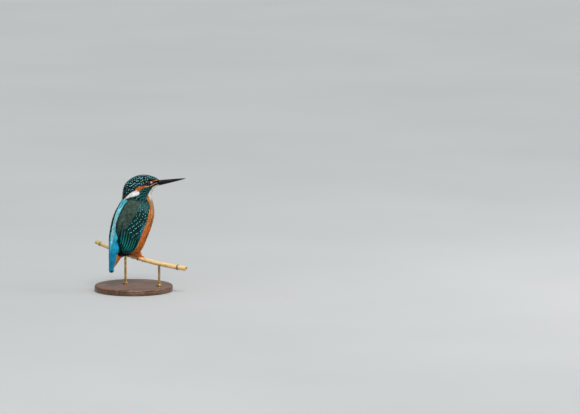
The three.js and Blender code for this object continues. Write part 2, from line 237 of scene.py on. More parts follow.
def stem_axis(along):
    """The middle of the stem, at a distance from the middle of the perch."""
    along = np.asarray(along, float)
    height = -STEM_RADIUS + STEM_SLOPE * along + STEM_BEND * along**2
    return along[..., None] * STEM_AHEAD + height[..., None] * UP


def round_stem(along, turn, reach):
    """A point beside the stem, turned about it from its top, `reach` from its middle."""
    turn, reach = np.asarray(turn, float)[..., None], np.asarray(reach, float)[..., None]
    return stem_axis(along) + np.cos(turn) * reach * UP + np.sin(turn) * reach * STEM_ACROSS


def drawn_sheet(around, along, place):
    """A grid of faces whose points are moved to place(u, v), where u and v run from 0 to 1."""
    shape = bmesh.new()
    bmesh.ops.create_grid(shape, x_segments=around, y_segments=along, size=0.5)
    flat = np.array([v.co[:2] for v in shape.verts]) + 0.5
    lie = shape.loops.layers.uv.new("Lie")
    for face in shape.faces:
        for corner in face.loops:
            corner[lie].uv = (corner.vert.co.x + 0.5, corner.vert.co.y + 0.5)
    for vert, point in zip(shape.verts, place(flat[:, 0], flat[:, 1])):
        vert.co = point
    return shape


def close_seams(shape, within=1e-4):
    """Joins the edges that meet and fills the open ends."""
    bmesh.ops.remove_doubles(shape, verts=shape.verts, dist=within)
    bmesh.ops.holes_fill(shape, edges=[e for e in shape.edges if e.is_boundary], sides=0)
    return shape


def tube(path, over, radius, around, along):
    """A closed round piece along path(v). `over` is the way that its top faces."""

    def place(u, v):
        ahead = unit(path(v + 1e-3) - path(v - 1e-3))
        side = unit(np.cross(ahead, over(v)))
        top = np.cross(side, ahead)
        turn = 2 * np.pi * u
        reach = radius(u, v)[..., None]
        return path(v) + reach * (np.sin(turn)[:, None] * side + np.cos(turn)[:, None] * top)

    return close_seams(drawn_sheet(around, along, place))


def bump(value, middle, width):
    """1 at the middle, falling smoothly to 0 at the width."""
    return np.clip(1 - ((value - middle) / width) ** 2, 0, 1) ** 2


def stem_along(v):
    return STEM_ENDS[0] + (STEM_ENDS[1] - STEM_ENDS[0]) * v


def stem_radius(u, v):
    along = stem_along(v)
    ribs = np.sin(2 * np.pi * u * RIBS) + np.sin(2 * np.pi * u * 5 + along * 0.05)
    radius = STEM_RADIUS + STEM_TAPER * along + RIB_DEPTH * (ribs - 1)
    for knot in STEM_KNOTS:
        ragged = 1 + 0.12 * np.sin(2 * np.pi * u * 3 + knot) + 0.08 * np.sin(2 * np.pi * u * 8)
        radius = radius + KNOT_HEIGHT * ragged * bump(along, knot, 1.1) - 0.3 * bump(along, knot + 1.7, 0.9)
    return radius


def sheet_map(material, stretch=(1, 1, 1)):
    """A drawn sheet's own map: round the piece, and along it."""
    where = add(material, "UVMap", {}, uv_map="Lie").outputs["UV"]
    return add(material, "Mapping", {"Vector": where, "Scale": stretch}).outputs["Vector"]


def reckon(material, operation, *values):
    return add(material, "Math", dict(enumerate(values)), operation=operation).outputs[0]


straw = finish("dry_reed", 0.5)
fibres = noise(straw, sheet_map(straw, (60, 7, 1)), 1.0, 4.0)
blotches = noise(straw, sheet_map(straw, (3, 14, 1)), 1.6, 5.0, Roughness=0.6)
fibre_colour = blend_colours(
    straw, fibres, [(0.3, (170, 132, 80)), (0.5, (216, 182, 126)), (0.7, (238, 214, 166))]
)
blotch_colour = blend_colours(
    straw, blotches, [(0.3, (150, 118, 78)), (0.46, (255, 250, 240)), (0.75, (255, 255, 255))]
)
straw_colour = mixed(straw, 0.75, fibre_colour, blotch_colour, "MULTIPLY")
stem_length = add(straw, "SeparateXYZ", {"Vector": sheet_map(straw)}).outputs["Y"]
for knot in STEM_KNOTS:
    at = (knot - STEM_ENDS[0]) / (STEM_ENDS[1] - STEM_ENDS[0])
    off_knot = reckon(straw, "ABSOLUTE", reckon(straw, "SUBTRACT", stem_length, at))
    stained = ranged(straw, off_knot, (0.004, 0.014), (0.85, 0.0))
    straw_colour = mixed(straw, stained, straw_colour, opaque(74, 46, 26))
green_share = ranged(straw, stem_length, (0.0, 0.14), (0.75, 0.0))
surface(
    straw,
    Base_Color=mixed(straw, green_share, straw_colour, opaque(150, 142, 70)),
    Normal=embossed(straw, fibres, 0.35, 0.0001),
)

reed = tube(lambda v: stem_axis(stem_along(v)), lambda v: UP + 0 * stem_axis(v), stem_radius, 66, 150)
cut_ends = [f for f in reed.faces if len(f.verts) > 4]
bmesh.ops.inset_individual(reed, faces=cut_ends, thickness=STEM_WALL, depth=0)
for hollow in [f for f in reed.faces if len(f.verts) > 4]:
    towards_middle = -math.copysign(HOLLOW_DEPTH, hollow.calc_center_median().dot(Vector(STEM_AHEAD)))
    pushed = bmesh.ops.extrude_discrete_faces(reed, faces=[hollow])["faces"]
    floor_of_hollow = [v for f in pushed for v in f.verts]
    bmesh.ops.translate(reed, vec=towards_middle * Vector(STEM_AHEAD), verts=floor_of_hollow)
settle(reed, "reed", straw, ["perch_reed"], sharp=50)

# ---- The rods -----------------------------------------------------------------------------------
# Two thin brass rods, each with a small turned collar that stands on the base. Their tops are
# hollowed to the stem and hold it with a drop of glue.
ROD_RADIUS = 1.6
ROD_COLLAR = 3.6
ROD_PLACES = (-16.0, 34.0)
ROD_GLUE = 0.4
COLLAR_NECK = [(0.5, 1.9), (0.15, 2.2), (0.0, 2.8)]  # outside the rod, and over the base

brass = finish("lacquered_brass", 0.3, 1.0)
tarnish = noise(brass, place_on(brass), 260.0, 5.0)
brushed = noise(brass, place_on(brass, (1, 1, 40)), 300.0)
surface(
    brass,
    Base_Color=blend_colours(
        brass, tarnish, [(0.3, (150, 116, 62)), (0.5, (196, 158, 92)), (0.7, (214, 180, 116))]
    ),
    Roughness=ranged(brass, tarnish, (0, 1), (0.42, 0.22)),
    Normal=embossed(brass, brushed, 0.08, 0.00005),
)

for number, along in enumerate(ROD_PLACES, 1):
    foot = stem_axis(along)
    foot_z = FLOOR + BASE_THICKNESS
    top = foot[2] - ROD_GLUE
    profile = [(0, foot_z + 0.02), (ROD_COLLAR - 0.3, foot_z + 0.02)]
    profile += rounded((ROD_COLLAR - 0.5, foot_z + 0.5), 0.5, -70, 0)
    profile += rounded((ROD_COLLAR - 0.6, foot_z + 1.2), 0.6, 0, 90)
    profile += [(ROD_RADIUS + outside, foot_z + over) for outside, over in COLLAR_NECK]
    profile += [(ROD_RADIUS, top), (0, top)]
    rod = turned_on_lathe(profile, 40, (foot[0], foot[1], 0))
    settle(rod, f"rod_{number}", brass, [f"stand_rod_{number}"], sharp=32)

# ---- The feet -----------------------------------------------------------------------------------
# Bare coral-red legs. Three toes go over the front of the reed and the hind toe down its back. Their
# tops are covered by a row of plates, their undersides by soft pads, and creases part the joints.
FOOT_SPREAD = 7.0
TOE_RADIUS = 1.0
TOE_REACH = STEM_RADIUS + TOE_RADIUS + 0.12
SHANK_BACK = 9.5
SHANK_RISE = 12.5
# degrees about the stem at the toe's root and tip, its drift along the stem, and how far its root and
# its tip stand from the middle toe's
TOES = {
    "inner": (-8, 92, 0.6, -1.4, -2.7),
    "middle": (-12, 122, 1.0, 0.0, 0.0),
    "outer": (-8, 108, 1.0, 1.4, 2.6),
    "hind": (6, -84, -3.2, 0.0, 0.0),
}
PLATES_A_JOINT = 4
SIDES = {"right": -1, "left": 1}


def carried(material, name, kind):
    """What a mesh carries at its points."""
    return add(material, "Attribute", {}, attribute_name=name).outputs[kind]


foot_skin = finish("coral_foot_skin", 0.42)
mottle = noise(foot_skin, place_on(foot_skin), 900.0, 4.0)
coral = blend_colours(foot_skin, mottle, [(0.3, (186, 50, 16)), (0.5, (232, 84, 28)), (0.72, (246, 120, 56))])
cells = add(foot_skin, "TexVoronoi", {"Vector": place_on(foot_skin), "Scale": 2600.0}).outputs["Distance"]
surface(
    foot_skin,
    Base_Color=mixed(foot_skin, carried(foot_skin, "crease", "Fac"), coral, opaque(112, 34, 22)),
    Normal=embossed(foot_skin, cells, 0.3, 0.00008),
    Subsurface_Weight=0.08,
    Subsurface_Radius=(0.0006, 0.0002, 0.0001),
)


def shank(side):
    """The ankle, on top of the reed, and the knee, behind it in the belly."""
    ankle = round_stem(-side * FOOT_SPREAD, 0.0, STEM_RADIUS + TOE_RADIUS + 0.35)
    return ankle, ankle + np.array([-SHANK_BACK, -0.05 * ankle[1], SHANK_RISE])


def toe_path(side, toe):
    begin, end, drift, root, aside = TOES[toe]

    def path(v):
        along = -side * (FOOT_SPREAD + root + (aside - root) * v) + drift * v
        return round_stem(along, np.radians(begin + (end - begin) * v), TOE_REACH)

    return path


def away_from_stem(path):
    """The way that faces out from the stem, along a path about it."""

    def over(v):
        point = path(v)
        return unit(point - stem_axis(point @ STEM_AHEAD))

    return over


def plated(joints, radius):
    """A toe's or leg's radius: plates across its top, pads under it, and a crease at each joint."""

    def reach(u, v):
        top = np.clip(np.cos(2 * np.pi * u), 0, 1) ** 0.5
        plates = 0.07 * top * (1 - 2 * np.abs((v * joints * PLATES_A_JOINT) % 1 - 0.5)) ** 0.5
        pads = 0.07 * np.clip(-np.cos(2 * np.pi * u), 0, 1) * np.cos(2 * np.pi * joints * v)
        ends = np.clip(np.minimum(v, 1 - v) / 0.06, 0, 1)
        return radius(v) * (0.96 + plates + pads) * np.sqrt(1 - (1 - ends) ** 2 + 1e-4)

    return reach


def crease_shade(shape, joints):
    """Darkens the lines between the plates."""
    shade = shape.verts.layers.float.new("crease")
    lie = shape.loops.layers.uv["Lie"]
    for face in shape.faces:
        for corner in face.loops:
            u, v = corner[lie].uv
            line = abs((v * joints * PLATES_A_JOINT) % 1 - 0.5) * 2
            corner.vert[shade] = 0.75 * max(0.0, math.cos(2 * math.pi * u)) ** 0.5 * line**6


for side_name, side in SIDES.items():
    foot = bmesh.new()
    foot.verts.layers.float.new("crease")
    foot.loops.layers.uv.new("Lie")
    ankle, knee = shank(side)
    limbs = []
    for toe in TOES:
        path = toe_path(side, toe)
        limbs.append((path, away_from_stem(path), lambda v: TOE_RADIUS * (1.02 - 0.24 * v), 4))
    limbs.append(
        (
            lambda v: ankle + np.asarray(v)[:, None] * (knee - ankle),
            lambda v: np.array([1.0, 0.0, 0.5]) + 0 * np.asarray(v)[:, None],
            lambda v: 1.15 + 0.75 * v + 0.25 * bump(v, 0, 0.2),
            3,
        )
    )
    for path, over, radius, joints in limbs:
        limb = tube(path, over, plated(joints, radius), 18, 56)
        crease_shade(limb, joints)
        drawn = bpy.data.meshes.new("limb")
        limb.to_mesh(drawn)
        limb.free()
        foot.from_mesh(drawn)
        bpy.data.meshes.remove(drawn)
    settle(foot, f"foot_{side_name}", foot_skin, [f"leg_{side_name}"])

# ---- The claws ----------------------------------------------------------------------------------
# A short curved claw of dark horn grows out of the end of each toe. It is smooth, and worn paler at
# its point.
CLAW_LENGTH = 4.2
CLAW_RADIUS = 0.76
CLAW_SWING = CLAW_LENGTH / (STEM_RADIUS + TOE_RADIUS)

horn = finish("dark_claw_horn", 0.28)
horn_length = add(horn, "SeparateXYZ", {"Vector": sheet_map(horn)}).outputs["Y"]
horn_colours = [(0.0, (52, 38, 32)), (0.35, (26, 22, 21)), (0.8, (34, 28, 26)), (1.0, (88, 74, 62))]
horn_lines = noise(horn, sheet_map(horn, (24, 3, 1)), 1.0)
surface(
    horn,
    Base_Color=blend_colours(horn, horn_length, horn_colours),
    Normal=embossed(horn, horn_lines, 0.15, 0.00004),
)


def claw_path(side, toe):
    _, end, drift, _, aside = TOES[toe]

    def path(v):
        along = -side * (FOOT_SPREAD + aside) + drift * (1 + 0.3 * v)
        turn = math.radians(end) + math.copysign(1, end) * (CLAW_SWING * v + 0.06)
        return round_stem(along, turn, TOE_REACH + 0.35 * np.sin(np.pi * v) - 0.25 * v)

    return path


for side_name, side in SIDES.items():
    for toe in TOES:
        path = claw_path(side, toe)
        claw = tube(path, away_from_stem(path), lambda u, v: CLAW_RADIUS * (1 - v) ** 0.75 + 0.03, 14, 26)
        settle(claw, f"claw_{side_name}_{toe}_horn", horn, [f"claw_{side_name}_{toe}"])

# ---- The body under the feathers ----------------------------------------------------------------
# The skin is one closed form from the base of the bill to the root of the tail, with the folded wings
# in it. It lies inside the outline by the depth of the plumage, and a fold runs along each wing.
OUTLINE = np.array(  # back x, back z, underside x, underside z, half the width, share of the head's turn
    [
        [33.2, 99.9, 33.2, 94.0, 3.4, 1],  # 0 the base of the bill
        [28.0, 103.8, 27.5, 91.3, 7.0, 1],  # 1 lores
        [19.6, 106.9, 24.5, 88.2, 10.0, 1],  # 2 eye
        [11.0, 108.0, 22.8, 85.2, 12.3, 1],  # 3 crown
        [2.0, 106.7, 22.0, 82.6, 13.9, 1],  # 4 hind crown
        [-6.3, 102.6, 21.7, 80.2, 14.8, 0.96],  # 5 occiput
        [-13.6, 96.0, 21.8, 77.4, 15.4, 0.82],  # 6 nape
        [-17.0, 87.5, 22.6, 74.0, 15.8, 0.55],  # 7 low nape
        [-18.4, 79.5, 24.2, 69.0, 16.4, 0.25],  # 8 neck
        [-22.0, 71.5, 25.8, 62.0, 17.2, 0.05],  # 9 shoulders
        [-28.9, 60.0, 25.8, 52.5, 19.6, 0],  # 10 chest
        [-33.6, 48.0, 21.8, 40.0, 20.8, 0],  # 11 middle
        [-36.6, 34.0, 14.5, 23.8, 20.8, 0],  # 12 belly
        [-38.8, 22.5, 3.6, 5.4, 18.8, 0],  # 13 flanks
        [-40.0, 13.5, -10.2, 1.8, 14.6, 0],  # 14 vent
        [-40.6, 5.5, -23.6, -0.2, 10.2, 0],  # 15 rump
        [-41.0, -3.5, -30.0, -6.6, 7.6, 0],  # 16 tail coverts
        [-40.9, -12.6, -36.4, -14.6, 5.4, 0],  # 17 tips of the tail coverts
    ]
)
LAST = len(OUTLINE) - 1
SQUARENESS = 2.1
HEAD_TURN = math.radians(-33)
NECK_X = 5.0
WING_OUTSIDE = 1.7
WING_START = 8.37
WING_END = 14.8
# share of the wing's length, degrees from the back to its rear and front edges, share of its thickness
WING = np.array(
    [
        [0.0, 36, 92, 0.35],
        [0.1, 18, 114, 0.8],
        [0.3, 12, 110, 1.0],
        [0.5, 12, 104, 1.0],
        [0.62, 26, 103, 0.95],
        [0.74, 42, 103, 0.9],
        [0.86, 52, 109, 0.8],
        [0.94, 58, 107, 0.65],
        [1.0, 66, 88, 0.45],
    ]
)
COAT_DEPTH = 1.2


def station(s):
    """The outline at s, where the whole numbers are the stations above."""
    s = np.clip(s, 0, LAST)
    ends = np.vstack([2 * OUTLINE[0] - OUTLINE[1], OUTLINE, 2 * OUTLINE[-1] - OUTLINE[-2]])
    first = np.minimum(np.floor(s).astype(int), LAST - 1)
    w = (s - first)[..., None]
    before, here, there, after = (ends[first + k] for k in range(4))
    rise, fall = 0.5 * (there - before), 0.5 * (after - here)
    square = 3 * (there - here) - 2 * rise - fall
    cube = 2 * (here - there) + rise + fall
    return here + rise * w + square * w**2 + cube * w**3


def squared(c):
    return np.sign(c) * np.abs(c) ** (2 / SQUARENESS)


def neck_turned(x, y, z, turn):
    """A point turned about the upright line through the neck."""
    ahead = x - NECK_X
    new_x = NECK_X + ahead * np.cos(turn) - y * np.sin(turn)
    new_y = ahead * np.sin(turn) + y * np.cos(turn)
    return np.stack(np.broadcast_arrays(new_x, new_y, z), -1)


def outline_point(s, angle, lift=0.0):
    """The point of the plumage at s, at an angle from the back (0) by the side to the underside (pi)."""
    s, angle = np.broadcast_arrays(np.asarray(s, float), np.asarray(angle, float))
    back_x, back_z, under_x, under_z, half, turn = np.moveaxis(station(s), -1, 0)
    deep_x, deep_z = (back_x - under_x) / 2, (back_z - under_z) / 2
    upward = squared(np.cos(angle)) * (1 + lift / np.hypot(deep_x, deep_z))
    x = (back_x + under_x) / 2 + deep_x * upward
    z = (back_z + under_z) / 2 + deep_z * upward
    y = squared(np.sin(angle)) * (half + lift)
    beyond = np.clip(s - LAST, 0, None)
    return neck_turned(x - beyond * (1 - np.cos(angle)), y, z - 9.0 * beyond, HEAD_TURN * turn)


def wrapped(angle):
    """How far round from the back, whichever the side, in degrees."""
    return np.abs((np.degrees(angle) + 180) % 360 - 180)


def wing_values(share):
    """Its rear edge, front edge and thickness at a share of the wing's length."""
    share = np.clip(share, 0, 1)
    row = np.clip(np.searchsorted(WING[:, 0], share, side="right") - 1, 0, len(WING) - 2)
    w = (share - WING[row, 0]) / (WING[row + 1, 0] - WING[row, 0])
    w = (w * w * (3 - 2 * w))[..., None]
    return np.moveaxis(WING[row, 1:] * (1 - w) + WING[row + 1, 1:] * w, -1, 0)


def wing_lift(s, angle):
    """How far the folded wing stands out of the flank."""
    share = (s - WING_START) / (WING_END - WING_START)
    rear, front, thick = wing_values(share)
    q = np.clip((wrapped(angle) - rear) / (front - rear), 0, 1)
    ends = np.clip(np.minimum(share / 0.12, (1 - share) / 0.1), 0, 1)
    return WING_OUTSIDE * thick * np.sin(np.pi * q) ** 0.8 * np.sqrt(ends)


def shaded(value, low, high):
    """0 below low and 1 above high, smooth between."""
    t = np.clip((value - low) / (high - low), 0, 1)
    return t * t * (3 - 2 * t)


def between(value, low, high, soft):
    return shaded(value, low - soft, low + soft) * (1 - shaded(value, high - soft, high + soft))


def edge(where, line):
    """Reads a boundary of the markings."""
    return np.interp(where, *zip(*line))


def off_edge(s, a, line, low, high, soft):
    """1 from `low` to `high` degrees beyond a boundary, soft at both ends."""
    return between(a - edge(s, line), low, high, soft)


# Boundaries of the markings: the degrees from the middle of the back, by the station.
CROWN_EDGE = [
    (0, 44), (0.9, 42), (1.4, 52), (2.0, 57), (2.6, 61), (3.0, 74), (3.3, 93), (4.1, 88), (4.8, 83),
    (5.5, 74), (6.0, 67), (6.4, 63), (7.2, 42), (7.75, 24), (8.15, 12), (8.5, 0),
]
EAR_TOP = [(2.9, 99), (3.25, 97), (4.1, 89), (4.85, 83), (5.5, 74), (5.95, 68), (6.1, 70)]
EAR_FOOT = [(2.9, 104), (3.2, 105), (3.9, 99), (4.4, 96), (5.25, 93), (5.9, 90), (6.1, 84)]
WHITE_TOP = [(5.9, 72), (6.1, 76), (6.35, 69), (6.8, 56), (7.2, 45), (7.75, 26), (8.15, 14), (8.5, 5)]
WHITE_FOOT = [
    (5.9, 90), (6.4, 90), (6.85, 83), (7.15, 74), (7.45, 60), (7.7, 46), (8.05, 28), (8.35, 14), (8.6, 6),
]
UNDER_EDGE = [
    (0, 118), (0.8, 120), (2.0, 123), (2.8, 134), (4.7, 136), (5.6, 131), (6.4, 124), (7.0, 116), (8.1, 116),
    (9.0, 119), (9.3, 112), (9.7, 109), (10.7, 109), (11.5, 104), (12.75, 102), (13.5, 106), (14.2, 112),
    (14.5, 98), (14.65, 58), (15.1, 66), (16.05, 80), (17, 88), (18.5, 92),
]
STRIPE_EDGE = [
    (8.25, 8), (8.4, 30), (8.7, 24), (9.1, 16), (10, 13), (10.5, 11), (11.1, 9), (11.6, 11), (12, 16),
    (12.4, 27), (12.65, 34), (13.15, 42), (13.7, 48), (14.55, 57), (15.1, 66), (16.05, 80), (17, 88),
    (18.5, 92),
]
# Where the mantle begins: the station, by the degrees from the middle of the back.
MANTLE_EDGE = [(0, 8.4), (26, 8.3), (40, 8.02), (66, 7.92), (85, 7.85), (104, 7.75), (118, 8.1), (180, 8.6)]
COVERT_EDGE = [
    (8.4, 84), (9.0, 76), (9.95, 68), (10.7, 61), (11.33, 54), (12.3, 46), (12.7, 40), (13.2, 30), (14, 20),
]
GAPE_LINE = [(0, 84), (1.1, 91), (1.9, 102), (2.7, 106), (3.0, 107)]
LORAL_LINE = [(0.6, 44), (0.9, 50), (1.58, 70), (1.9, 80), (2.5, 88)]

PAINT = {
    name: np.array(linear(*colour))
    for name, colour in {
        "crown": (4, 38, 42),
        "nape": (0, 26, 30),
        "black": (4, 5, 6),
        "slate": (38, 52, 66),
        "loral": (170, 86, 28),
        "loral_pale": (214, 186, 158),
        "flesh": (206, 148, 128),
        "ear": (204, 108, 44),
        "ear_front": (252, 206, 110),
        "white": (252, 250, 246),
        "buff": (246, 214, 160),
        "malar": (6, 50, 52),
        "cream": (255, 250, 232),
        "breast": (200, 140, 84),
        "breast_pale": (214, 172, 136),
        "belly": (216, 124, 50),
        # a painted highlight on the back's stripe
        "stripe": (92, 206, 222),
        "stripe_highlight": (206, 250, 252),
        "azure": (4, 146, 192),
        "rump": (22, 184, 224),
        # grey green: the scapulars' dull green, greyed by a painted sheen of the sky
        "scapular": (64, 84, 74),
        "scapular_edge": (16, 54, 46),
        "covert": (0, 46, 46),
        "shoulder": (18, 74, 72),
        "quill": (14, 172, 160),
        "quill_dark": (0, 32, 34),
        "quill_edge": (104, 206, 190),
        "primary": (9, 14, 17),
        "tail": (0, 136, 174),
        "under_tail": (34, 40, 46),
    }.items()
}


def painted(colour, *coats):
    """Lays paints over a colour, one after the other, each with its share."""
    for share, paint in coats:
        colour = colour + np.asarray(share)[..., None] * (PAINT[paint] - colour)
    return colour


def from_eye(points):
    """How far points are from the line through both eyes' middles, of the nearer eye, in millimetres."""
    nearest = np.full(points.shape[:-1], 1e9)
    for side in SIDES.values():
        middle, out = eye_middle(side), eye_axis(side)
        apart = points - middle
        reach = np.linalg.norm(apart - (apart @ out)[..., None] * out, axis=-1)
        nearest = np.where(apart @ out > -1.5, np.minimum(nearest, reach), nearest)
    return nearest


def on_head(x, y, z):
    """A point of the head, with the head turned to the bird's right."""
    return neck_turned(x, y, z, HEAD_TURN)


EYE_AT = (15.5, 9.6, 97.8)
EYE_RADIUS = 3.4


def eye_middle(side):
    return on_head(EYE_AT[0], side * EYE_AT[1], EYE_AT[2])


def eye_axis(side):
    """Outwards from the head, a little forward and up."""
    return unit(on_head(NECK_X + 0.30, side * 0.93, 0.0) - on_head(NECK_X, 0.0, 0.0) + 0.22 * UP)


def belly_colour(s, a):
    """Cream at the throat, paler orange on the breast, orange below and along the wings."""
    middle = shaded(a - edge(s, UNDER_EDGE), 5, 20)
    return painted(
        np.zeros(s.shape + (3,)) + PAINT["belly"],
        (1 - shaded(s, 9.0, 12.0), "breast"),
        (between(s, 6.2, 11.0, 0.8) * (1 - middle) * 0.75, "belly"),
        (between(s, 6.6, 9.8, 0.8) * middle * 0.8, "breast_pale"),
        (1 - shaded(s, 5.4 + middle, 6.2 + 1.4 * middle), "cream"),
    )


def markings(s, angle, points):
    """The plumage's colour by place, and how strongly it is barred and spotted there."""
    a = wrapped(angle)
    colour = belly_colour(s, a)
    under = edge(s, UNDER_EDGE)
    upper = 1 - shaded(a, under - 1.2, under + 1.2)
    mantle = edge(a, MANTLE_EDGE)
    wing = upper * shaded(s, mantle + 0.05, mantle + 0.3)
    outer = shaded(a - edge(s, COVERT_EDGE), -4, 4)
    dark_rim = np.maximum(0.85 * (1 - shaded(a - edge(s, STRIPE_EDGE), 2, 14)), 0.7 * shaded(s, 10.8, 12.2))
    # Painted shade: black on the belly and flanks under the tips of the wings.
    shade_under_wing_tips = np.maximum(
        between(s, 13.9, 14.72, 0.1) * between(a, 62, 84, 4),
        between(s, 13.9, 15.0 + 0.15 * shaded(a, 104, 120), 0.12) * between(a, 86, 146, 5),
    )
    colour = painted(
        colour,
        (upper, "malar"),
        (upper * shaded(s, mantle, mantle + 0.25), "shoulder"),
        # the scapulars' green, greyed by painted sheen
        (wing * (1 - outer), "scapular"),
        (wing * (1 - outer) * dark_rim, "scapular_edge"),
        (wing * outer * shaded(s, 8.9, 9.8), "covert"),
        (wing * between(a, under - 11, under, 3) * between(s, 10.9, 14.0, 0.4) * 0.45, "azure"),
        # painted shade under the wing tips
        (shade_under_wing_tips * 0.9, "black"),
    )

    stripe = shaded(s, 8.3, 8.5) * (1 - shaded(a - edge(s, STRIPE_EDGE), -1.5, 1.5))
    crown = (1 - shaded(s, 8.3, 8.55)) * (1 - shaded(a - edge(s, CROWN_EDGE), -1.5, 1.5))
    colour = painted(
        colour,
        (stripe, "stripe"),
        # painted highlight along the middle of the back's stripe
        (stripe * 0.75 * between(a, 1, 8, 3) * between(s, 9.6, 13.6, 0.8), "stripe_highlight"),
        (stripe * shaded(s, 11.6, 13.2) * shaded(a, 3, 16), "rump"),
        (stripe * shaded(s, 13.6, 15.6) * 0.8, "azure"),
        (crown, "crown"),
        (crown * shaded(s, 5.5, 7.0), "nape"),
    )
    bars = 0.75 * upper * (1 - shaded(s, 7.7, 8.3)) * (1 - crown)
    bars = np.maximum(bars, crown * (1 - 0.55 * shaded(s, 5.4, 6.8)))
    spots = wing * outer * (1 - shaded(s, 12.0, 12.3)) * (1 - stripe)

    front = (1 - shaded(s, 2.7, 3.3)) * (1 - shaded(a, 114, 118)) * (1 - crown)
    loral = off_edge(s, a, LORAL_LINE, -6.5, 6.5, 1.5) * between(s, 0.72, 1.75, 0.12)
    pale = between(a, 74, 90, 2.0) * between(s, 1.85, 2.3, 0.12)
    flesh = off_edge(s, a, GAPE_LINE, -4.0, 4.0, 1.2) * between(s, 0.7, 2.7, 0.15)
    # Painted shadow: a black band on the feathers just under the base of the lower mandible.
    shade_below_gape = off_edge(s, a, GAPE_LINE, 5, 17, 1.5) * (1 - shaded(s, 2.1, 2.6))
    ear = between(a, edge(s, EAR_TOP), edge(s, EAR_FOOT), 1.2) * between(s, 2.95, 6.05, 0.1)
    white = between(a, edge(s, WHITE_TOP), edge(s, WHITE_FOOT), 1.2) * between(s, 6.0, 8.5, 0.08)
    line = off_edge(s, a, WHITE_TOP, -8.5, -0.5, 1.2) * between(s, 5.7, 8.45, 0.2)
    # Painted shadow: a dark band along the white patch's lower edge, where the neck meets the wing.
    shade_below_white_patch = off_edge(s, a, WHITE_FOOT, 1, 12, 2) * between(s, 7.2, 8.4, 0.2) * (a < 86)
    ring = np.where(s < 5, 1 - shaded(from_eye(points), 3.9, 4.7), 0)
    # Painted shadow: a dark line along the start of the mantle, where the top of the wing meets the neck.
    fold = between(s, mantle - 0.22, mantle + 0.14, 0.08) * between(a, 24, 118, 6) * (1 - white)
    colour = painted(
        colour,
        (front, "black"),
        (loral, "loral"),
        (loral * (1 - shaded(s, 1.0, 1.3)) * 0.5, "ear_front"),
        (pale, "loral_pale"),
        (flesh, "flesh"),
        # painted shadow under the gape
        (shade_below_gape, "black"),
        (off_edge(s, a, EAR_TOP, -14, 0, 2) * between(s, 3.6, 5.4, 0.3), "slate"),
        (ear, "ear"),
        (ear * (1 - shaded(s, 3.3, 4.2)), "ear_front"),
        (white, "white"),
        (white * shaded(s, 7.7, 8.3) * 0.8, "buff"),
        (0.95 * line, "black"),
        # painted shadow below the white patch
        (0.8 * shade_below_white_patch, "black"),
        (ring, "black"),
        # painted shadow at the top of the wing
        (0.85 * fold, "black"),
    )
    plain = 1 - np.clip(loral + pale + flesh + shade_below_gape + ear + white + line + ring + front, 0, 1)
    return colour, bars * plain, spots * plain


skin_and_down = finish("skin_and_down", 0.8)
down = noise(skin_and_down, place_on(skin_and_down), 1500.0, 4.0)
down_shade = blend_colours(skin_and_down, down, [(0.3, (120, 120, 120)), (0.7, (215, 215, 215))])
skin_marks = carried(skin_and_down, "plumage", "Color")
surface(
    skin_and_down,
    Base_Color=mixed(skin_and_down, 1.0, skin_marks, down_shade, "MULTIPLY"),
    Normal=embossed(skin_and_down, down, 0.5, 0.0003),
)


def skin_depth(s, angle):
    """The skin's place under the outline, with the fold that the wing's edges press into it."""
    share = np.clip((s - WING_START) / (WING_END - WING_START), 0, 1)
    rear, front, _ = wing_values(share)
    a = wrapped(angle)
    fold = 0.35 * (bump(a, front + 2, 5) + bump(a, rear - 2, 4)) * np.sin(np.pi * share)
    narrow = np.clip(s / 1.5, 0, 1) * np.clip((LAST + 0.4 - s) / 2.0, 0, 1)
    return wing_lift(s, angle) - (COAT_DEPTH + fold) * (0.35 + 0.65 * narrow)


def skin_place(u, v):
    s, angle = LAST * v, 2 * np.pi * (u - 0.5)
    return outline_point(s, angle, skin_depth(s, angle))


skin = drawn_sheet(110, 190, skin_place)
skin_map = skin.loops.layers.uv["Lie"]
marks = skin.verts.layers.float_color.new("plumage")
corners = {c.vert: c[skin_map].uv for f in skin.faces for c in f.loops}
flat = np.array([corners[v] for v in skin.verts])
skin_s, skin_angle = LAST * flat[:, 1], 2 * np.pi * (flat[:, 0] - 0.5)
skin_colours, _, _ = markings(skin_s, skin_angle, outline_point(skin_s, skin_angle))
# The skin carries the plumage's markings darkened to 0.55: painted shade deep under the feathers.
for vert, colour in zip(skin.verts, skin_colours):
    vert[marks] = (*(0.55 * colour), 1)
close_seams(skin)
flesh_nodes = ["head", "neck", "trunk", "wing_left", "wing_right", "tail"]
skin_piece = settle(skin, "skin", skin_and_down, flesh_nodes, sharp=180)
skin_piece.data.uv_layers["Lie"].name = "OFBake"

# ---- The bill -----------------------------------------------------------------------------------
# Two long halves of black horn that close along a line. A ridge runs down the upper half, which
# has a slit of a nostril on each side of its base. The edges are sharp, and the horn is finely scratched.
BILL_ROOT_X = 25.0
BILL_BASE_X = 32.0
BILL_TIP_X = 67.4
BILL_LINE_Z = 95.5
BILL_RISE = 0.175
BILL_HALF_WIDTH = 4.1
BILL_GAP = 0.12
BILL_TAPER = 0.74
NOSTRIL_X = 34.6
# how deep each half is, which way it faces and where it ends
BILL_HALVES = {"bill_upper": (3.7, 1, BILL_TIP_X), "bill_lower": (3.1, -1, BILL_TIP_X - 0.9)}

bill_horn = finish("black_bill_horn", 0.4)
scratches = noise(bill_horn, sheet_map(bill_horn, (44, 3, 1)), 1.0, 4.0)
wear = noise(bill_horn, place_on(bill_horn), 240.0, 5.0, Roughness=0.6)
surface(
    bill_horn,
    Base_Color=blend_colours(bill_horn, wear, [(0.35, (3, 3, 4)), (0.6, (6, 6, 6)), (0.8, (20, 18, 17))]),
    Roughness=ranged(bill_horn, scratches, (0, 1), (0.26, 0.42)),
    Normal=embossed(bill_horn, scratches, 0.22, 0.00006),
    Specular_IOR_Level=0.14,
)

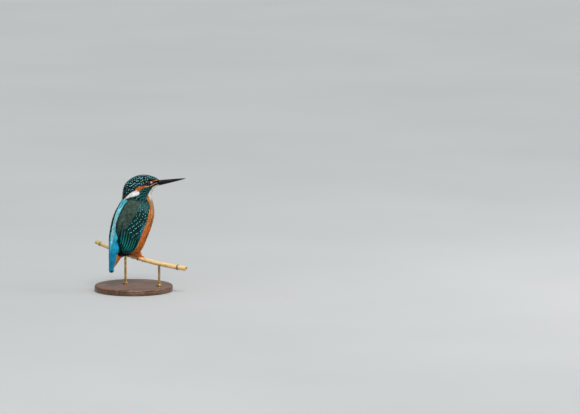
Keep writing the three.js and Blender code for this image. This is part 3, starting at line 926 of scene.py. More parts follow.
for name, (depth, up, tip_x) in BILL_HALVES.items():

    def bill_place(u, v):
        x = BILL_ROOT_X + (tip_x - BILL_ROOT_X) * v**0.9
        along = np.clip((x - BILL_BASE_X) / (BILL_TIP_X - BILL_BASE_X), 0, 1)
        taper = np.maximum(0.02, (1 - along) ** BILL_TAPER)
        line = BILL_LINE_Z + BILL_RISE * (x - BILL_ROOT_X) + up * BILL_GAP / 2
        turn = np.pi * np.clip(u * 1.25, 0, 1)  # the last fifth is the flat where the halves close
        back = np.clip(u * 5 - 4, 0, 1)
        side_turn = np.pi / 2 - np.abs(turn - np.pi / 2)  # the same on both sides
        ridge = 1 + 0.05 * bump(turn, np.pi / 2, 0.3) - 0.05 * bump(side_turn, 0.9, 0.5)
        nostril = bump(x, NOSTRIL_X, 2.6) * bump(side_turn, 0.62, 0.2) * (up > 0)
        reach = ridge - 0.16 * nostril
        y = np.where(back > 0, -1 + 2 * back, np.cos(turn) * reach) * BILL_HALF_WIDTH * taper
        z = np.where(back > 0, 0, np.sin(turn) ** 0.85 * reach) * depth * taper
        return on_head(x, y, line + up * z)

    half = close_seams(drawn_sheet(60, 90, bill_place), 2e-3)
    settle(half, name + "_horn", bill_horn, [name], sharp=55)

# ---- The eyes -----------------------------------------------------------------------------------
# Glass eyes: nearly black, with a dark brown ring round the pupil, polished. A narrow rim of bare dark
# lid, creased, holds each one in the skin.
LID_REACH = 2.85
LID_RADIUS = 0.34
LID_STANDS = 0.02
LID_CREASES = 18
CORNEA_RADIUS = 4.8


def eye_front(reach):
    """How far the cornea stands ahead of the eye's middle. It is flatter than the ball that it closes."""
    fall = math.sqrt(CORNEA_RADIUS**2 - reach**2) - math.sqrt(CORNEA_RADIUS**2 - LID_REACH**2)
    return math.sqrt(EYE_RADIUS**2 - LID_REACH**2) + fall


def aimed(middle, axis):
    """Places a shape drawn about the origin with its +Z on an axis of the head."""
    return Matrix.Translation(Vector(middle)) @ Vector(axis).to_track_quat("Z", "Y").to_matrix().to_4x4()


glass = finish("dark_glass_eye", 0.05)
pupil = [(0.0, (5, 4, 4)), (0.5, (6, 5, 5))]
iris = [(0.62, (44, 24, 14)), (0.9, (28, 15, 10)), (1.0, (8, 7, 7))]
eye_rings = blend_colours(glass, carried(glass, "ring", "Fac"), pupil + iris)
rays = noise(glass, place_on(glass), 1600.0, 3.0)
ray_shade = blend_colours(glass, rays, [(0.35, (150, 150, 150)), (0.65, (255, 255, 255))])
surface(glass, Base_Color=mixed(glass, 1.0, eye_rings, ray_shade, "MULTIPLY"), Specular_IOR_Level=0.3)

lid_skin = finish("bare_lid", 0.5)
lid_wrinkles = noise(lid_skin, place_on(lid_skin), 1800.0, 3.0)
surface(
    lid_skin,
    Base_Color=blend_colours(lid_skin, lid_wrinkles, [(0.35, (8, 8, 8)), (0.65, (26, 24, 24))]),
    Normal=embossed(lid_skin, lid_wrinkles, 0.4, 0.0001),
)

for side_name, side in SIDES.items():
    ball = bmesh.new()
    bmesh.ops.create_uvsphere(ball, u_segments=56, v_segments=36, radius=EYE_RADIUS)
    ring = ball.verts.layers.float.new("ring")
    for vert in ball.verts:
        reach = math.hypot(vert.co.x, vert.co.y) if vert.co.z > 0 else EYE_RADIUS
        vert[ring] = min(reach / LID_REACH, 1.0)
        if reach < LID_REACH:
            vert.co.z = eye_front(reach)
    bmesh.ops.transform(ball, matrix=aimed(eye_middle(side), eye_axis(side)), verts=ball.verts)
    settle(ball, f"eye_{side_name}_glass", glass, [f"eye_{side_name}"], sharp=180)

    lid = bmesh.new()
    rim = bmesh.ops.create_circle(lid, segments=10, radius=LID_RADIUS)["verts"]
    bmesh.ops.rotate(lid, verts=rim, cent=(0, 0, 0), matrix=Matrix.Rotation(math.pi / 2, 3, "X"))
    bmesh.ops.translate(lid, verts=rim, vec=(LID_REACH, 0, eye_front(LID_REACH) + LID_STANDS))
    spin_round(lid, rim + lid.edges[:], 72)
    for vert in lid.verts:
        crease = 1 + 0.02 * math.cos(LID_CREASES * math.atan2(vert.co.y, vert.co.x))
        vert.co.x *= crease * 1.04  # the opening is a little longer than high
        vert.co.y *= crease * 0.97
    bmesh.ops.transform(lid, matrix=aimed(eye_middle(side), eye_axis(side)), verts=lid.verts)
    settle(lid, f"lid_{side_name}", lid_skin, sharp=180)

# ---- The feathers of the body -------------------------------------------------------------------
# Small soft feathers lie in rows like tiles from the bill to the tail, rooted in the skin, each tip
# over the roots of the next row. They are finest round the bill and the eyes. A vane is a fan of barbs.
FLOW_S = np.linspace(0, LAST + 1.6, 373)
FLOW_TURN = 3.0
FLOW_A = np.radians(np.arange(-180, 180 + FLOW_TURN, FLOW_TURN))
FLOW_STEP = 0.5
flow_grid = outline_point(FLOW_S[:, None], FLOW_A[None, :], wing_lift(FLOW_S[:, None], FLOW_A[None, :]))
steps_back = np.linalg.norm(np.diff(flow_grid, axis=0), axis=-1)
BACKWARD = np.vstack([np.zeros(len(FLOW_A)), np.cumsum(steps_back, axis=0)])  # millimetres from the bill
around = np.linalg.norm(np.roll(flow_grid[:, :-1], -1, 1) - np.roll(flow_grid[:, :-1], 1, 1), axis=-1)
ROUND = np.hstack([around, around[:, :1]]) / math.radians(2 * FLOW_TURN)  # millimetres a radian
FLOW_D = np.arange(0, BACKWARD.max(), FLOW_STEP)
S_AT = np.stack([np.interp(FLOW_D, BACKWARD[:, k], FLOW_S) for k in range(len(FLOW_A))], 1)


def read(table, row, angle, row_step):
    """A value of a table by its row and the angle, blended between the nearest four."""
    row = np.clip(row / row_step, 0, len(table) - 1.001)
    column = (np.degrees(angle) + 180) % 360 / FLOW_TURN
    i, j = np.floor(row).astype(int), np.minimum(np.floor(column).astype(int), len(FLOW_A) - 2)
    w, h = row - i, column - j
    low = table[i, j] * (1 - h) + table[i, j + 1] * h
    high = table[i + 1, j] * (1 - h) + table[i + 1, j + 1] * h
    return low * (1 - w) + high * w


def s_at(distance, angle):
    return read(S_AT, distance, angle, FLOW_STEP)


def back_at(s, angle):
    return read(BACKWARD, s, angle, FLOW_S[1])


def round_at(s, angle):
    return np.maximum(read(ROUND, s, angle, FLOW_S[1]), 2.0)


def vane(barbs, root_turn=110, split=0.8, gap=0.25, ridge=0.02, middle=0.55, taper=0.86):
    """One flat feather, as points along it, across it and up, and its faces. Each barb is a strip in
    two lengths from the shaft to the outline. `split` parts the outer ends of the barbs."""
    along, across, up, faces = [], [], [], []
    lines = np.linspace(0, 1, barbs + 1)
    turn = np.radians(root_turn) * (1 - lines)
    out_u = middle + (1 - middle) * np.cos(turn)
    out_v = np.sin(np.minimum(turn, np.pi - 0.01)) ** 0.85
    base_u = taper * lines**0.9
    for side in (1, -1):
        for k in range(barbs):
            a, b = k, k + 1
            mid = [(base_u[i] + 0.5 * (out_u[i] - base_u[i]) - 0.02, 0.6 * out_v[i]) for i in (a, b)]
            centre_mid = ((mid[0][0] + mid[1][0]) / 2, (mid[0][1] + mid[1][1]) / 2)
            tip = ((out_u[a] + out_u[b]) / 2, (out_v[a] + out_v[b]) / 2)
            ma, mb = (tuple(m + gap * (c - m) for m, c in zip(p, centre_mid)) for p in mid)
            ends = [(out_u[i], out_v[i]) for i in (a, b)]
            ea, eb = (tuple(e + split * (c - e) for e, c in zip(p, tip)) for p in ends)
            first = len(along)
            shaft = [(base_u[a], 0.0, 0), (base_u[b], 0.0, 0)]
            for u, v, h in [*shaft, (*ma, ridge), (*mb, -ridge), (*ea, 0), (*eb, -ridge)]:
                along.append(u)
                across.append(side * v)
                up.append(h)
            for face in ((0, 1, 3), (0, 3, 2), (2, 3, 5), (2, 5, 4)):
                faces.append([first + i for i in (face if side > 0 else face[::-1])])
    return np.array(along), np.array(across), np.array(up), np.array(faces)


def feather_mesh(name, points, faces, colours, lie, marked, patches, material):
    """A joined mesh of feathers. Its points carry their colours, their places on each feather, and how
    strong its bar and its spot are. Its map is the OFBake map."""
    mesh = bpy.data.meshes.new(name)
    mesh.vertices.add(len(points))
    mesh.vertices.foreach_set("co", ((points + np.array(REED_TOP)) * MM).astype(np.float32).ravel())
    mesh.loops.add(faces.size)
    mesh.loops.foreach_set("vertex_index", faces.astype(np.int32).ravel())
    mesh.polygons.add(len(faces))
    mesh.polygons.foreach_set("loop_start", np.arange(0, faces.size, 3, dtype=np.int32))
    mesh.update(calc_edges=True)
    colours = np.hstack([np.clip(colours, 0, 1), np.ones((len(colours), 1))])
    paint = mesh.color_attributes.new("plumage", "FLOAT_COLOR", "POINT")
    paint.data.foreach_set("color", colours.astype(np.float32).ravel())
    for key, values in (("vane", lie), ("marked", marked)):
        held = mesh.attributes.new(key, "FLOAT_VECTOR", "POINT")
        held.data.foreach_set("vector", values.astype(np.float32).ravel())
    bake = mesh.uv_layers.new(name="OFBake")
    bake.uv.foreach_set("vector", np.clip(patches[faces.ravel()], 0, 1).astype(np.float32).ravel())
    return show(mesh, name, material)


def fade(material, value, full, none):
    """1 up to `full`, falling smoothly to 0 at `none`."""
    return ranged(material, value, (full, none), (1.0, 0.0), interpolation_type="SMOOTHSTEP")


BAR_AT = 0.86  # of the feather's length
SPOT_AT = 0.87
SPOT_SHAPE = 2.6
BARB_SLANT = 0.3
SHAFT_DARK = 0.35


def coat_finish(name, roughness, sheen, gloss, barb_lines, bar_colour, bar_width):
    """Feather: its own colour, the bright bar or spot near its tip, a dark shaft, barb lines and a sheen."""
    material = finish(name, roughness)

    def reckoned(operation, *values):
        return reckon(material, operation, *values)

    own = carried(material, "plumage", "Color")
    lie, marked = carried(material, "vane", "Vector"), carried(material, "marked", "Vector")
    u, v, chance = add(material, "SeparateXYZ", {"Vector": lie}).outputs
    barred, spotted, _ = add(material, "SeparateXYZ", {"Vector": marked}).outputs
    aside = reckoned("ABSOLUTE", v)

    off_bar = reckoned("ABSOLUTE", reckoned("SUBTRACT", u, BAR_AT))
    bar_end = fade(material, aside, bar_width, bar_width + 0.14)
    bar = reckoned("MULTIPLY", fade(material, off_bar, 0.05, 0.1), bar_end)
    along = reckoned("MULTIPLY", reckoned("SUBTRACT", u, SPOT_AT), SPOT_SHAPE)
    off_spot = reckoned("ADD", reckoned("MULTIPLY", along, along), reckoned("MULTIPLY", v, v))
    spot = fade(material, reckoned("POWER", off_spot, 0.5), 0.15, 0.26)
    bright = reckoned("MAXIMUM", reckoned("MULTIPLY", bar, barred), reckoned("MULTIPLY", spot, spotted))
    colour = mixed(material, bright, own, opaque(*bar_colour))

    swept = reckoned("SUBTRACT", u, reckoned("MULTIPLY", aside, BARB_SLANT))
    start = reckoned("MULTIPLY", chance, 6.3)
    wave = reckoned("SINE", reckoned("ADD", reckoned("MULTIPLY", swept, barb_lines), start))
    streaks = reckoned("MULTIPLY_ADD", wave, 0.12, noise(material, place_on(material), 2200.0, 3.0))
    shade = blend_colours(material, streaks, [(0.3, (196, 196, 196)), (0.6, (255, 255, 255))])
    shaft = reckoned("MULTIPLY", fade(material, aside, 0.02, 0.08), SHAFT_DARK)
    lined = mixed(material, 1.0, colour, shade, "MULTIPLY")
    brightness = add(material, "RGBToBW", {"Color": own}).outputs["Val"]
    surface(
        material,
        Base_Color=mixed(material, shaft, lined, (0.004, 0.004, 0.004, 1)),
        Normal=embossed(material, streaks, 0.35, 0.0001),
        Sheen_Weight=sheen,
        Sheen_Roughness=0.45,
        Specular_IOR_Level=ranged(material, brightness, (0.0, 0.05), (0.2 * gloss, gloss)),
    )
    return material


TUFT_PATCH = 0.003
VANE_UNDER = 0.12


def lay_feathers(name, roots, size, template, material, uneven=0.11, lift=0.0, camber=0.35, spotted=1.0):
    """Lays one feather on each root, along the body, and joins them in one mesh. Its size is its length,
    its width and how deep its root lies."""
    u, v, h, faces = template
    distance, angle = roots[:, :1], roots[:, 1:2]
    length, width, depth, spotted = (
        np.broadcast_to(value, len(roots))[:, None] for value in (*size, spotted)
    )
    yaw = random.normal(0, 0.05, (len(roots), 1))
    long = length * random.normal(1, 0.05, (len(roots), 1))
    raised = random.uniform(0, 0.10, (len(roots), 1))
    bright = random.normal(1, uneven, (len(roots), 1))
    s = s_at(distance + u * long, angle)
    turn = np.clip((v * width / 2 + yaw * u * long) / round_at(s, angle), -0.7, 0.7)
    height = wing_lift(s, angle + turn) + lift + raised * u**2
    height = height - depth * (1 - u) ** 1.3 + h * width - camber * v**2
    points = outline_point(s, angle + turn, height - VANE_UNDER)
    colours, bars, spots = markings(s, angle + turn, points)
    # Painted shade towards each feather's root and along its middle, and painted light on its edges and tip,
    # for depth and relief.
    rim = 0.84 + 0.16 * np.abs(v) ** 2 + 0.14 * u
    colours = colours * (bright * rim)[..., None]
    lie = np.stack([u + 0 * s, v + 0 * s, (bright - 1) * 10 + 0 * s], -1)
    marked = np.stack([bars * spotted, spots * spotted, 0 * s], -1)
    patch_s, patch_turn = s_at(distance, angle) / LAST, (angle / (2 * np.pi) + 0.5) % 1
    corner = np.stack([patch_s + (u - 0.5) * TUFT_PATCH, patch_turn + v * TUFT_PATCH / 2], -1)
    all_faces = faces[None] + np.arange(len(roots))[:, None, None] * len(u)
    flat = [part.reshape(-1, part.shape[-1]) for part in (points, all_faces, colours, lie, marked, corner)]
    return feather_mesh(name, *flat, material)


def rows_of_roots(start, end, gap, aspect, jitter=0.1):
    """Staggered rows of roots at equal distances back from the bill, all round the body."""
    roots, distance, row = [], start, 0
    fine = np.radians(np.arange(-180, 180.5, 1.0))
    while distance < end:
        apart = gap(distance)
        s = s_at(np.full(len(fine), distance), fine)
        ahead = np.cumsum(np.r_[0, (round_at(s, fine)[1:] + round_at(s, fine)[:-1]) / 2 * np.diff(fine)])
        count = max(6, round(ahead[-1] / (apart * aspect)))
        places = (np.arange(count) + 0.5 * (row % 2) + random.normal(0, jitter, count)) / count * ahead[-1]
        angles = np.interp(places % ahead[-1], ahead, fine)
        shifts = random.normal(0, jitter * apart, count)
        roots.append(np.stack([distance + shifts, angles], 1))
        distance += apart
        row += 1
    return np.concatenate(roots)


# how rough, how velvety and how glossy, barb lines, the bar's colour and half its width
soft_feather = coat_finish("soft_feather", 0.6, 0.02, 0.14, 90.0, (96, 190, 188), 0.26)
crown_feather = coat_finish("crown_feather", 0.5, 0.02, 0.18, 100.0, (158, 234, 234), 0.34)
silky_feather = coat_finish("silky_blue_feather", 0.42, 0.02, 0.24, 110.0, (136, 238, 224), 0.3)
small, large = vane(7), vane(11)


def body_gap(distance):
    return np.interp(distance, [0, 6, 16, 30, 50, 80, 120], [1.0, 1.1, 1.4, 1.8, 2.1, 2.4, 2.6])


def crown_gap(distance):
    return np.interp(distance, [0, 8, 20, 60], [1.6, 2.4, 3.0, 3.1])


def on_crown(s, angle):
    return (wrapped(angle) < edge(s, CROWN_EDGE) + 1) & (s < 8.4)


TIP_OFF_EYE = 2.9
ROOT_OFF_EYE = 2.7
CROWN_OFF_EYE = 3.4
HEAD_END = 5.0  # stations
NECK_END = 8.3
CROWN_LENGTH = 75
BODY_LENGTH = BACKWARD.max()  # millimetres along the plumage from the bill to the tail, the longest way
body_roots = rows_of_roots(0.3, BODY_LENGTH - 12, body_gap, 1.35)
root_s, root_a = s_at(body_roots[:, 0], body_roots[:, 1]), body_roots[:, 1]
gaps = body_gap(body_roots[:, 0])
tip_s = s_at(body_roots[:, 0] + 2.2 * gaps, root_a)
clear = (from_eye(outline_point(tip_s, root_a)) > TIP_OFF_EYE) | (tip_s > HEAD_END)
clear &= (from_eye(outline_point(root_s, root_a)) > ROOT_OFF_EYE) | (root_s > HEAD_END)
on_wing = (wing_lift(tip_s, root_a) > 0.25) & (root_s > 8.6)
on_tail = root_s > np.where(wrapped(root_a) > 84, 15.9, 16.5)
kept = clear & ~on_wing & ~on_tail & ~on_crown(tip_s, root_a)
face, neck = root_s < HEAD_END, (root_s >= HEAD_END) & (root_s < NECK_END)
back = (root_s >= NECK_END) & (wrapped(root_a) < edge(root_s, STRIPE_EDGE) + 6)
breast = (root_s >= NECK_END) & ~back
BODY_WIDTH = 1.9  # for each millimetre between the rows, as the lengths below
for name, region, length, depth, template, material, camber, uneven in (
    ("coat_face", face, 3.1, 0.8, small, soft_feather, 0.12, 0.11),
    ("coat_neck", neck, 3.1, 1.0, small, soft_feather, 0.2, 0.11),
    ("coat_back", back, 3.8, 1.1, large, silky_feather, 0.3, 0.2),
    ("coat_breast", breast, 3.4, 1.1, large, soft_feather, 0.35, 0.16),
):
    gap, root = gaps[kept & region], body_roots[kept & region]
    size = (length * gap, BODY_WIDTH * gap, depth)
    lay_feathers(name, root, size, template, material, uneven, camber=camber)

crown_roots = rows_of_roots(0.6, CROWN_LENGTH, crown_gap, 1.1, jitter=0.12)
root_s, root_a = s_at(crown_roots[:, 0], crown_roots[:, 1]), crown_roots[:, 1]
gaps = crown_gap(crown_roots[:, 0])
tip_s = s_at(crown_roots[:, 0] + 2.4 * gaps, root_a)
clear = (from_eye(outline_point(tip_s, root_a)) > CROWN_OFF_EYE) | (tip_s > HEAD_END)
crown = on_crown(tip_s, root_a) & clear & (root_s < 8.2)
gap, root = gaps[crown], crown_roots[crown]
bright = random.uniform(0.55, 1.0, len(gap))
crown_size = (2.6 * gap, 1.7 * gap, 1.0)
lay_feathers("coat_crown", root, crown_size, vane(9), crown_feather, camber=0.2, spotted=bright)

# ---- The folded wings ---------------------------------------------------------------------------
# Long soft scapulars lie over the top of each wing, and rows of rounded coverts, each with a bright
# spot at its tip, sweep back from its bend over the quills. The secondaries lie stacked with their
# outer edges showing, and the dark tips of the primaries come out under them.
COVERT_ROWS = 5
COVERT_GAP = 4.4
COVERT_LENGTH, COVERT_WIDTH = 8.5, 5.6
COVERT_SPOTS = (0.3, 1.0, 1.0, 0.9, 0.7, 0.45)  # how strong each row's spots are, from the outermost in
LESSER_LENGTH, LESSER_WIDTH, LESSER_SPOTS = 5.0, 3.4, 0.45
SHOULDER_GAP = 2.2
SCAPULAR_GAP = 2.6
SCAPULAR_SIZE = (8.6, 4.8, 1.2)
ROOT_DEPTH = 1.2
QUILL_ROOT = 11.1  # the station
SECONDARY_WIDTH = 7.4
PRIMARY_WIDTH = 5.2
WING_ROOTS = (30, BODY_LENGTH - 20)  # millimetres back from the bill
covert_vane = vane(12, split=0.35, gap=0.05, ridge=0.012, middle=0.6)
scapular_vane = vane(14, split=0.6, gap=0.12, ridge=0.015, middle=0.6)
flight_feather = coat_finish("flight_feather", 0.42, 0.02, 0.24, 260.0, (60, 170, 165), 0.3)


def covert_tips(row):
    """Where the tips of one row of coverts lie, from the bend of the wing down its front edge and back."""
    turn = np.linspace(0, 1, 40)
    begin, last = 10.25 - 0.31 * row, 11.95 - 0.29 * row
    front, rear = 106 - 8.2 * row, 70 - 7 * row
    s = np.r_[np.linspace(9.2, begin, 12)[:-1], begin + (last - begin) * turn]
    a = np.r_[np.linspace(front - 5, front, 12)[:-1], front - (front - rear) * turn**2.5]
    back = back_at(s, np.radians(a))
    steps = np.hypot(np.diff(back), np.radians(np.diff(a)) * round_at(s[1:], np.radians(a[1:])))
    run = np.r_[0, np.cumsum(steps)]
    places = np.arange(0.5 * (row % 2) * COVERT_GAP, run[-1], COVERT_GAP)
    s, a = np.interp(places, run, s), np.interp(places, run, a)
    return np.stack([s + random.normal(0, 0.03, len(s)), np.radians(a + random.normal(0, 0.8, len(s)))], 1)


shoulder_roots = rows_of_roots(*WING_ROOTS, lambda d: SHOULDER_GAP, 1.2, jitter=0.07)
shoulder_a = shoulder_roots[:, 1]
shoulder_s = s_at(shoulder_roots[:, 0] + 2 * SHOULDER_GAP, shoulder_a)
lesser = (shoulder_s > 8.45) & (shoulder_s < 9.5) & (wing_lift(shoulder_s, shoulder_a) > 0.1)
lesser &= wrapped(shoulder_a) > edge(shoulder_s, COVERT_EDGE)
scapular_roots = rows_of_roots(*WING_ROOTS, lambda d: SCAPULAR_GAP, 1.3, jitter=0.08)
scapular_a = scapular_roots[:, 1]
scapular_s = s_at(scapular_roots[:, 0] + 6, scapular_a)
inner = (scapular_s > 8.4) & (scapular_s < 12.75) & (wing_lift(scapular_s, scapular_a) > 0.12)
inner &= wrapped(scapular_a) < edge(scapular_s, COVERT_EDGE)
inner &= wrapped(scapular_a) > edge(scapular_s, STRIPE_EDGE) + 1
SECONDARIES = [  # degrees from the back at the root and at the tip, and the station of the tip
    (38, 42, 13.1),
    (46, 51, 13.5),
    (54, 60, 13.85),
    (62, 69, 14.1),
    (70, 77, 14.25),
    (78, 84, 14.3),
    (86, 90, 14.2),
    (94, 95, 14.0),
    (101, 99, 13.6),
]
PRIMARIES = [
    (76, 74, 14.9),
    (82, 82, 15.0),
    (88, 90, 15.0),
    (94, 98, 14.9),
    (99, 106, 14.7),
    (102, 110, 14.4),
]


def single_feather(made, template, points, colour, patch, reversed_faces=False):
    """Adds one feather to those made so far."""
    u, v, _, faces = template
    lie = np.stack([u, v, 0 * u + len(made)], -1)
    faces = (faces[:, ::-1] if reversed_faces else faces) + len(made) * len(u)
    made.append((points, faces, colour, lie, 0 * lie, patch))


def patch_of(number, template, columns):
    """A feather's own patch of the map, which has three rows of patches."""
    u, v, _, _ = template
    column, row = number % columns, number // columns
    return np.stack([(column + 0.06 + 0.88 * (v + 1) / 2) / columns, (row + 0.04 + 0.92 * u) / 3], -1)


def join_feathers(name, made, material):
    feather_mesh(name, *(np.concatenate(part) for part in zip(*made)), material)


for side_name, side in SIDES.items():
    rows = [covert_tips(row) for row in range(-1, COVERT_ROWS)]
    bright = np.concatenate([np.full(len(row), share) for row, share in zip(rows, COVERT_SPOTS)])
    tips = np.concatenate(rows)
    seen = np.degrees(tips[:, 1]) > edge(tips[:, 0], COVERT_EDGE) - 2
    tips, bright = tips[seen], bright[seen]
    covert_roots = np.stack([back_at(tips[:, 0], tips[:, 1]) - COVERT_LENGTH, side * tips[:, 1]], 1)
    covert_roots = np.concatenate([covert_roots, shoulder_roots[lesser & (np.sign(shoulder_a) == side)]])
    small_ones = np.arange(len(covert_roots)) >= len(tips)
    bright = np.r_[bright, np.full(small_ones.sum(), LESSER_SPOTS)]
    bright = bright * random.uniform(0.6, 1.0, len(covert_roots))
    length = np.where(small_ones, LESSER_LENGTH, COVERT_LENGTH)
    size = (length, np.where(small_ones, LESSER_WIDTH, COVERT_WIDTH), ROOT_DEPTH)
    coverts, scapulars = f"coat_coverts_{side_name}", f"coat_scapulars_{side_name}"
    lay_feathers(coverts, covert_roots, size, covert_vane, silky_feather, camber=0.3, spotted=bright)
    roots = scapular_roots[inner & (np.sign(scapular_a) == side)]
    lay_feathers(scapulars, roots, SCAPULAR_SIZE, scapular_vane, soft_feather, uneven=0.24, lift=0.15)

    quill = vane(60, root_turn=96, split=0.1, gap=0.0, ridge=0.006, middle=0.88, taper=0.97)
    u, v, h, _ = quill
    quills = [(*place, SECONDARY_WIDTH, 0.75 - 0.07 * k, "quill") for k, place in enumerate(SECONDARIES)]
    quills += [(*place, PRIMARY_WIDTH, -0.1 - 0.05 * k, "primary") for k, place in enumerate(PRIMARIES)]
    made = []
    for root_turn, tip_turn, tip_s, width, height, tone in quills:
        s = QUILL_ROOT + (tip_s - QUILL_ROOT) * u
        line = np.radians(root_turn + (tip_turn - root_turn) * u)
        reach = np.where(v > 0, 0.42, 0.58) * v * width * np.clip(0.55 + 0.6 * u, 0, 1)
        turn = side * (line + reach / round_at(s, line * side))
        shaft = 0.15 * bump(v, 0, 0.12)
        lift = wing_lift(s, turn) * 0.85 + height + shaft - 0.35 * v**2 - 0.9 * (1 - u) ** 2 + h * width
        colour = np.zeros(u.shape + (3,)) + PAINT[tone]
        if tone == "quill":
            colour = painted(
                colour,
                (shaded(v, 0.8, 0.92), "quill_edge" if root_turn < 90 else "azure"),
                (1 - shaded(v, 0.26, 0.4), "quill_dark"),
                (shaded(u, 0.93, 1.0) * 0.5, "black"),
            )
        colour = colour * (0.9 + 0.2 * random.random())
        patch = patch_of(len(made), quill, 6)
        single_feather(made, quill, outline_point(s, turn, lift), colour, patch, side < 0)
    join_feathers(f"quills_{side_name}", made, flight_feather)

# ---- The tail -----------------------------------------------------------------------------------
# Twelve short stiff feathers lie closed over each other, the middle pair on top. They are deep blue
# above and dusky below, each drawn as an upper and an under sheet, and soft coverts lie over their
# roots on both sides.
TAIL_HALF_WIDTH = 6.8
TAIL_THICKNESS = 1.5
TAIL_TOP_Z = 3.0
TAIL_TIP_Z = -20.3
TAIL_BACK = -39.6
TAIL_PAIRS = 6
TAIL_LAYER = 0.2  # from one pair to the next
TAIL_COVERT_GAP = 2.4
tail_vane = vane(44, root_turn=96, split=0.12, gap=0.0, ridge=0.006, middle=0.9, taper=0.97)
u, v, h, _ = tail_vane
made = []
for layer in range(TAIL_PAIRS):
    for side in SIDES.values():
        for under in (0, 1):
            middle_at = side * (0.12 + 0.62 * layer / (TAIL_PAIRS - 1))  # across the fan, -1 to 1
            across = np.clip(middle_at + side * v * 0.3 * np.clip(0.7 + 0.5 * u, 0, 1), -1, 1)
            y = TAIL_HALF_WIDTH * (0.97 - 0.07 * u) * across + 0.6 * u
            z = TAIL_TOP_Z + (TAIL_TIP_Z - TAIL_TOP_Z) * u + 3 * abs(middle_at) ** 3 * u
            level = -TAIL_THICKNESS / 2 + TAIL_LAYER * (1 + layer) + 0.07 * under
            shaft = 0.1 * bump(v, 0, 0.12) * (1 - 2 * under)
            x = TAIL_BACK - 0.1 * u + 1.1 * across**2 + level - shaft + 0.12 * v**2 - h * 4
            colour = np.zeros(u.shape + (3,)) + PAINT["under_tail" if under else "tail"]
            if not under:
                dark_edge = between(v, 0.85, 1.2, 0.05) * 0.7
                colour = painted(colour, (0.45 * shaded(v, -0.2, 0.9), "azure"), (dark_edge, "black"))
            colour = colour * (0.9 + 0.2 * random.random())
            points, patch = np.stack([x, y, z], -1), patch_of(len(made), tail_vane, 8)
            single_feather(made, tail_vane, points, colour, patch, (side > 0) != (under == 1))
join_feathers("tail_feathers", made, flight_feather)

tail_roots = rows_of_roots(90, BODY_LENGTH - 14, lambda d: TAIL_COVERT_GAP, 1.1)
root_s = s_at(tail_roots[:, 0], tail_roots[:, 1])
below = wrapped(tail_roots[:, 1]) > 84
on_root = (root_s > np.where(below, 15.0, 15.4)) & (root_s < np.where(below, 15.95, 16.6))
size = (np.where(below[on_root], 7.0, 8.5), 4.4, ROOT_DEPTH)
lay_feathers("coat_tail_coverts", tail_roots[on_root], size, vane(14, split=0.7), silky_feather)

# ---- The thighs ---------------------------------------------------------------------------------
# Short soft buff feathers hang from the belly round each leg and hide the shank down to the foot, and
# a tuft of belly feathers fills the room between the legs, just over the reed.
THIGH_ROWS = 9
THIGH_FEATHERS = 15  # in each row
THIGH_LENGTH = 5.2
BELLY_TOP = np.array([-6.5, -1.5, 10.5])
BELLY_FOOT = np.array([0.6, -2.2, 0.0])
tuft_vane = vane(7)
u, v, _, _ = tuft_vane
tufts = []  # name, top and foot of the middle line, radius at each, and how far down the last roots are
for side_name, side in SIDES.items():
    ankle, knee = shank(side)
    tufts.append((side_name, knee, ankle, 4.6, 1.9, 0.54))
tufts.append(("middle", BELLY_TOP, BELLY_FOOT, 5.4, 4.0, 0.52))
for tuft, (name, top, foot, top_radius, foot_radius, last_row) in enumerate(tufts):
    reach_down = np.linalg.norm(foot - top)
    down = (foot - top) / reach_down
    out = unit(np.cross(down, UP))
    ahead = np.cross(out, down)
    made = []
    for row in range(THIGH_ROWS):
        for place in range(THIGH_FEATHERS):
            turn = 2 * np.pi * (place + 0.5 * (row % 2) + random.normal(0, 0.15)) / THIGH_FEATHERS
            start = 0.1 + last_row * row / (THIGH_ROWS - 1)
            reach = reach_down * start + u * random.normal(THIGH_LENGTH, 0.4)
            narrowed = np.clip(reach / reach_down, 0, 1) ** 1.6
            wide = top_radius + (foot_radius - top_radius) * narrowed - 0.5 * (1 - u)
            round_about = turn + v * 1.5 / wide
            outwards = np.cos(round_about)[:, None] * out + np.sin(round_about)[:, None] * ahead
            points = top + reach[:, None] * down + (wide - 0.2 * v**2)[:, None] * outwards
            colour = painted(np.zeros(u.shape + (3,)) + PAINT["belly"], (0.25 + 0 * u, "breast"))
            colour = colour * random.normal(1, 0.12)
            patch_s = 0.80 + 0.004 * row + (u - 0.5) * TUFT_PATCH
            patch_turn = 0.3 + 0.2 * tuft + 0.004 * place + v * TUFT_PATCH / 2
            single_feather(made, tuft_vane, points, colour, np.stack([patch_s, patch_turn], -1))
    join_feathers(f"coat_thigh_{name}", made, soft_feather)

# ---- The floor, the light and the camera --------------------------------------------------------
# A pale floor, soft light from the upper left and from the right, and a long lens behind the bird's
# right shoulder, a little above it. Lamps and floor are placed in metres.
FRAME_WIDTH = 580
FRAME_HEIGHT = 414
MM_A_PIXEL = 1.33
REED_TOP_PIXEL = (136.18, 255.32)
FLOOR_REACH = 30
BIRD_MIDDLE = Vector((0, 0, 0.09))
VIEW_ROUND = math.radians(33)
VIEW_ABOVE = math.radians(8)

pale_floor = finish("pale_floor", 0.75)
clouds = noise(pale_floor, place_on(pale_floor), 3.0, 2.0)
cloudy = blend_colours(pale_floor, clouds, [(0.3, (163, 164, 163)), (0.7, (167, 168, 167))])
surface(pale_floor, Base_Color=cloudy)
floor_shape = bmesh.new()
bmesh.ops.create_grid(floor_shape, x_segments=1, y_segments=1, size=FLOOR_REACH)
floor_mesh = bpy.data.meshes.new("floor")
floor_shape.to_mesh(floor_mesh)
floor_shape.free()
floor_mesh.materials.append(pale_floor)
floor = bpy.data.objects.new("floor", floor_mesh)
bpy.context.scene.collection.objects.link(floor)

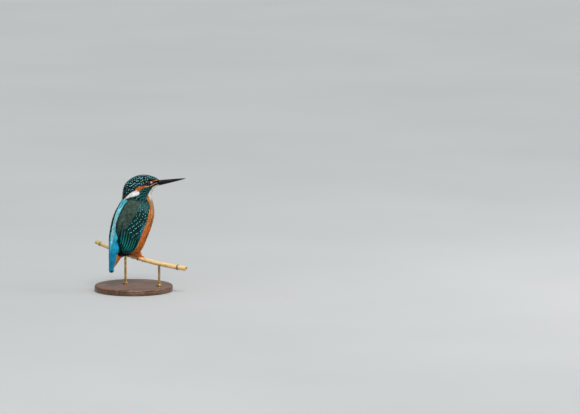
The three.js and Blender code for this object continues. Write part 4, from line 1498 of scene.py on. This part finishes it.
bpy.context.scene.view_settings.view_transform = "Standard"
world = bpy.data.worlds.new("studio")
world.use_nodes = True
heading = add(world, "TexCoord", {}).outputs["Generated"]
height = add(world, "SeparateXYZ", {"Vector": heading}).outputs["Z"]
glow = ranged(world, height, (0.1, 0.6), (0.18, 0.84))
plug(world, world.node_tree.nodes["Background"], {"Color": (0.9, 0.95, 1.0, 1), "Strength": glow})
bpy.context.scene.world = world


def aim(light, place):
    """Places a lamp and turns it to the bird."""
    holder = bpy.data.objects.new(light.name, light)
    holder.location = place
    holder.rotation_euler = (BIRD_MIDDLE - Vector(place)).to_track_quat("-Z", "Y").to_euler()
    bpy.context.scene.collection.objects.link(holder)


sky = bpy.data.lights.new("sky", "SUN")
sky.energy = 2.5
sky.angle = math.radians(24)
sky.color = (1.0, 0.985, 0.96)
aim(sky, (-0.25, -0.75, 1.3))
LAMPS = (("window", (-0.9, -1.0, 0.8), 0.6, 3.0), ("fill", (1.1, -0.8, 0.6), 0.9, 9.0))
for name, place, width, power in LAMPS:
    lamp = bpy.data.lights.new(name, "AREA")
    lamp.size = width
    lamp.energy = power
    aim(lamp, place)

lens = bpy.data.cameras.new("camera")
lens.lens = 400
lens.sensor_width = 36
lens.clip_end = 200
camera = bpy.data.objects.new("camera", lens)
to_right = np.array([math.cos(VIEW_ROUND), -math.sin(VIEW_ROUND), 0])
level = np.array([math.sin(VIEW_ROUND), math.cos(VIEW_ROUND), 0])
looking = level * math.cos(VIEW_ABOVE) - UP * math.sin(VIEW_ABOVE)
upward = np.cross(to_right, looking)
middle = np.array(REED_TOP)
middle = middle + MM_A_PIXEL * (FRAME_WIDTH / 2 - REED_TOP_PIXEL[0]) * to_right
middle = middle + MM_A_PIXEL * (REED_TOP_PIXEL[1] - FRAME_HEIGHT / 2) * upward
distance = lens.lens / lens.sensor_width * FRAME_WIDTH * MM_A_PIXEL
camera.location = Vector((middle - distance * looking) * MM)
camera.rotation_euler = Vector(looking).to_track_quat("-Z", "Y").to_euler()
bpy.context.scene.collection.objects.link(camera)
bpy.context.scene.camera = camera
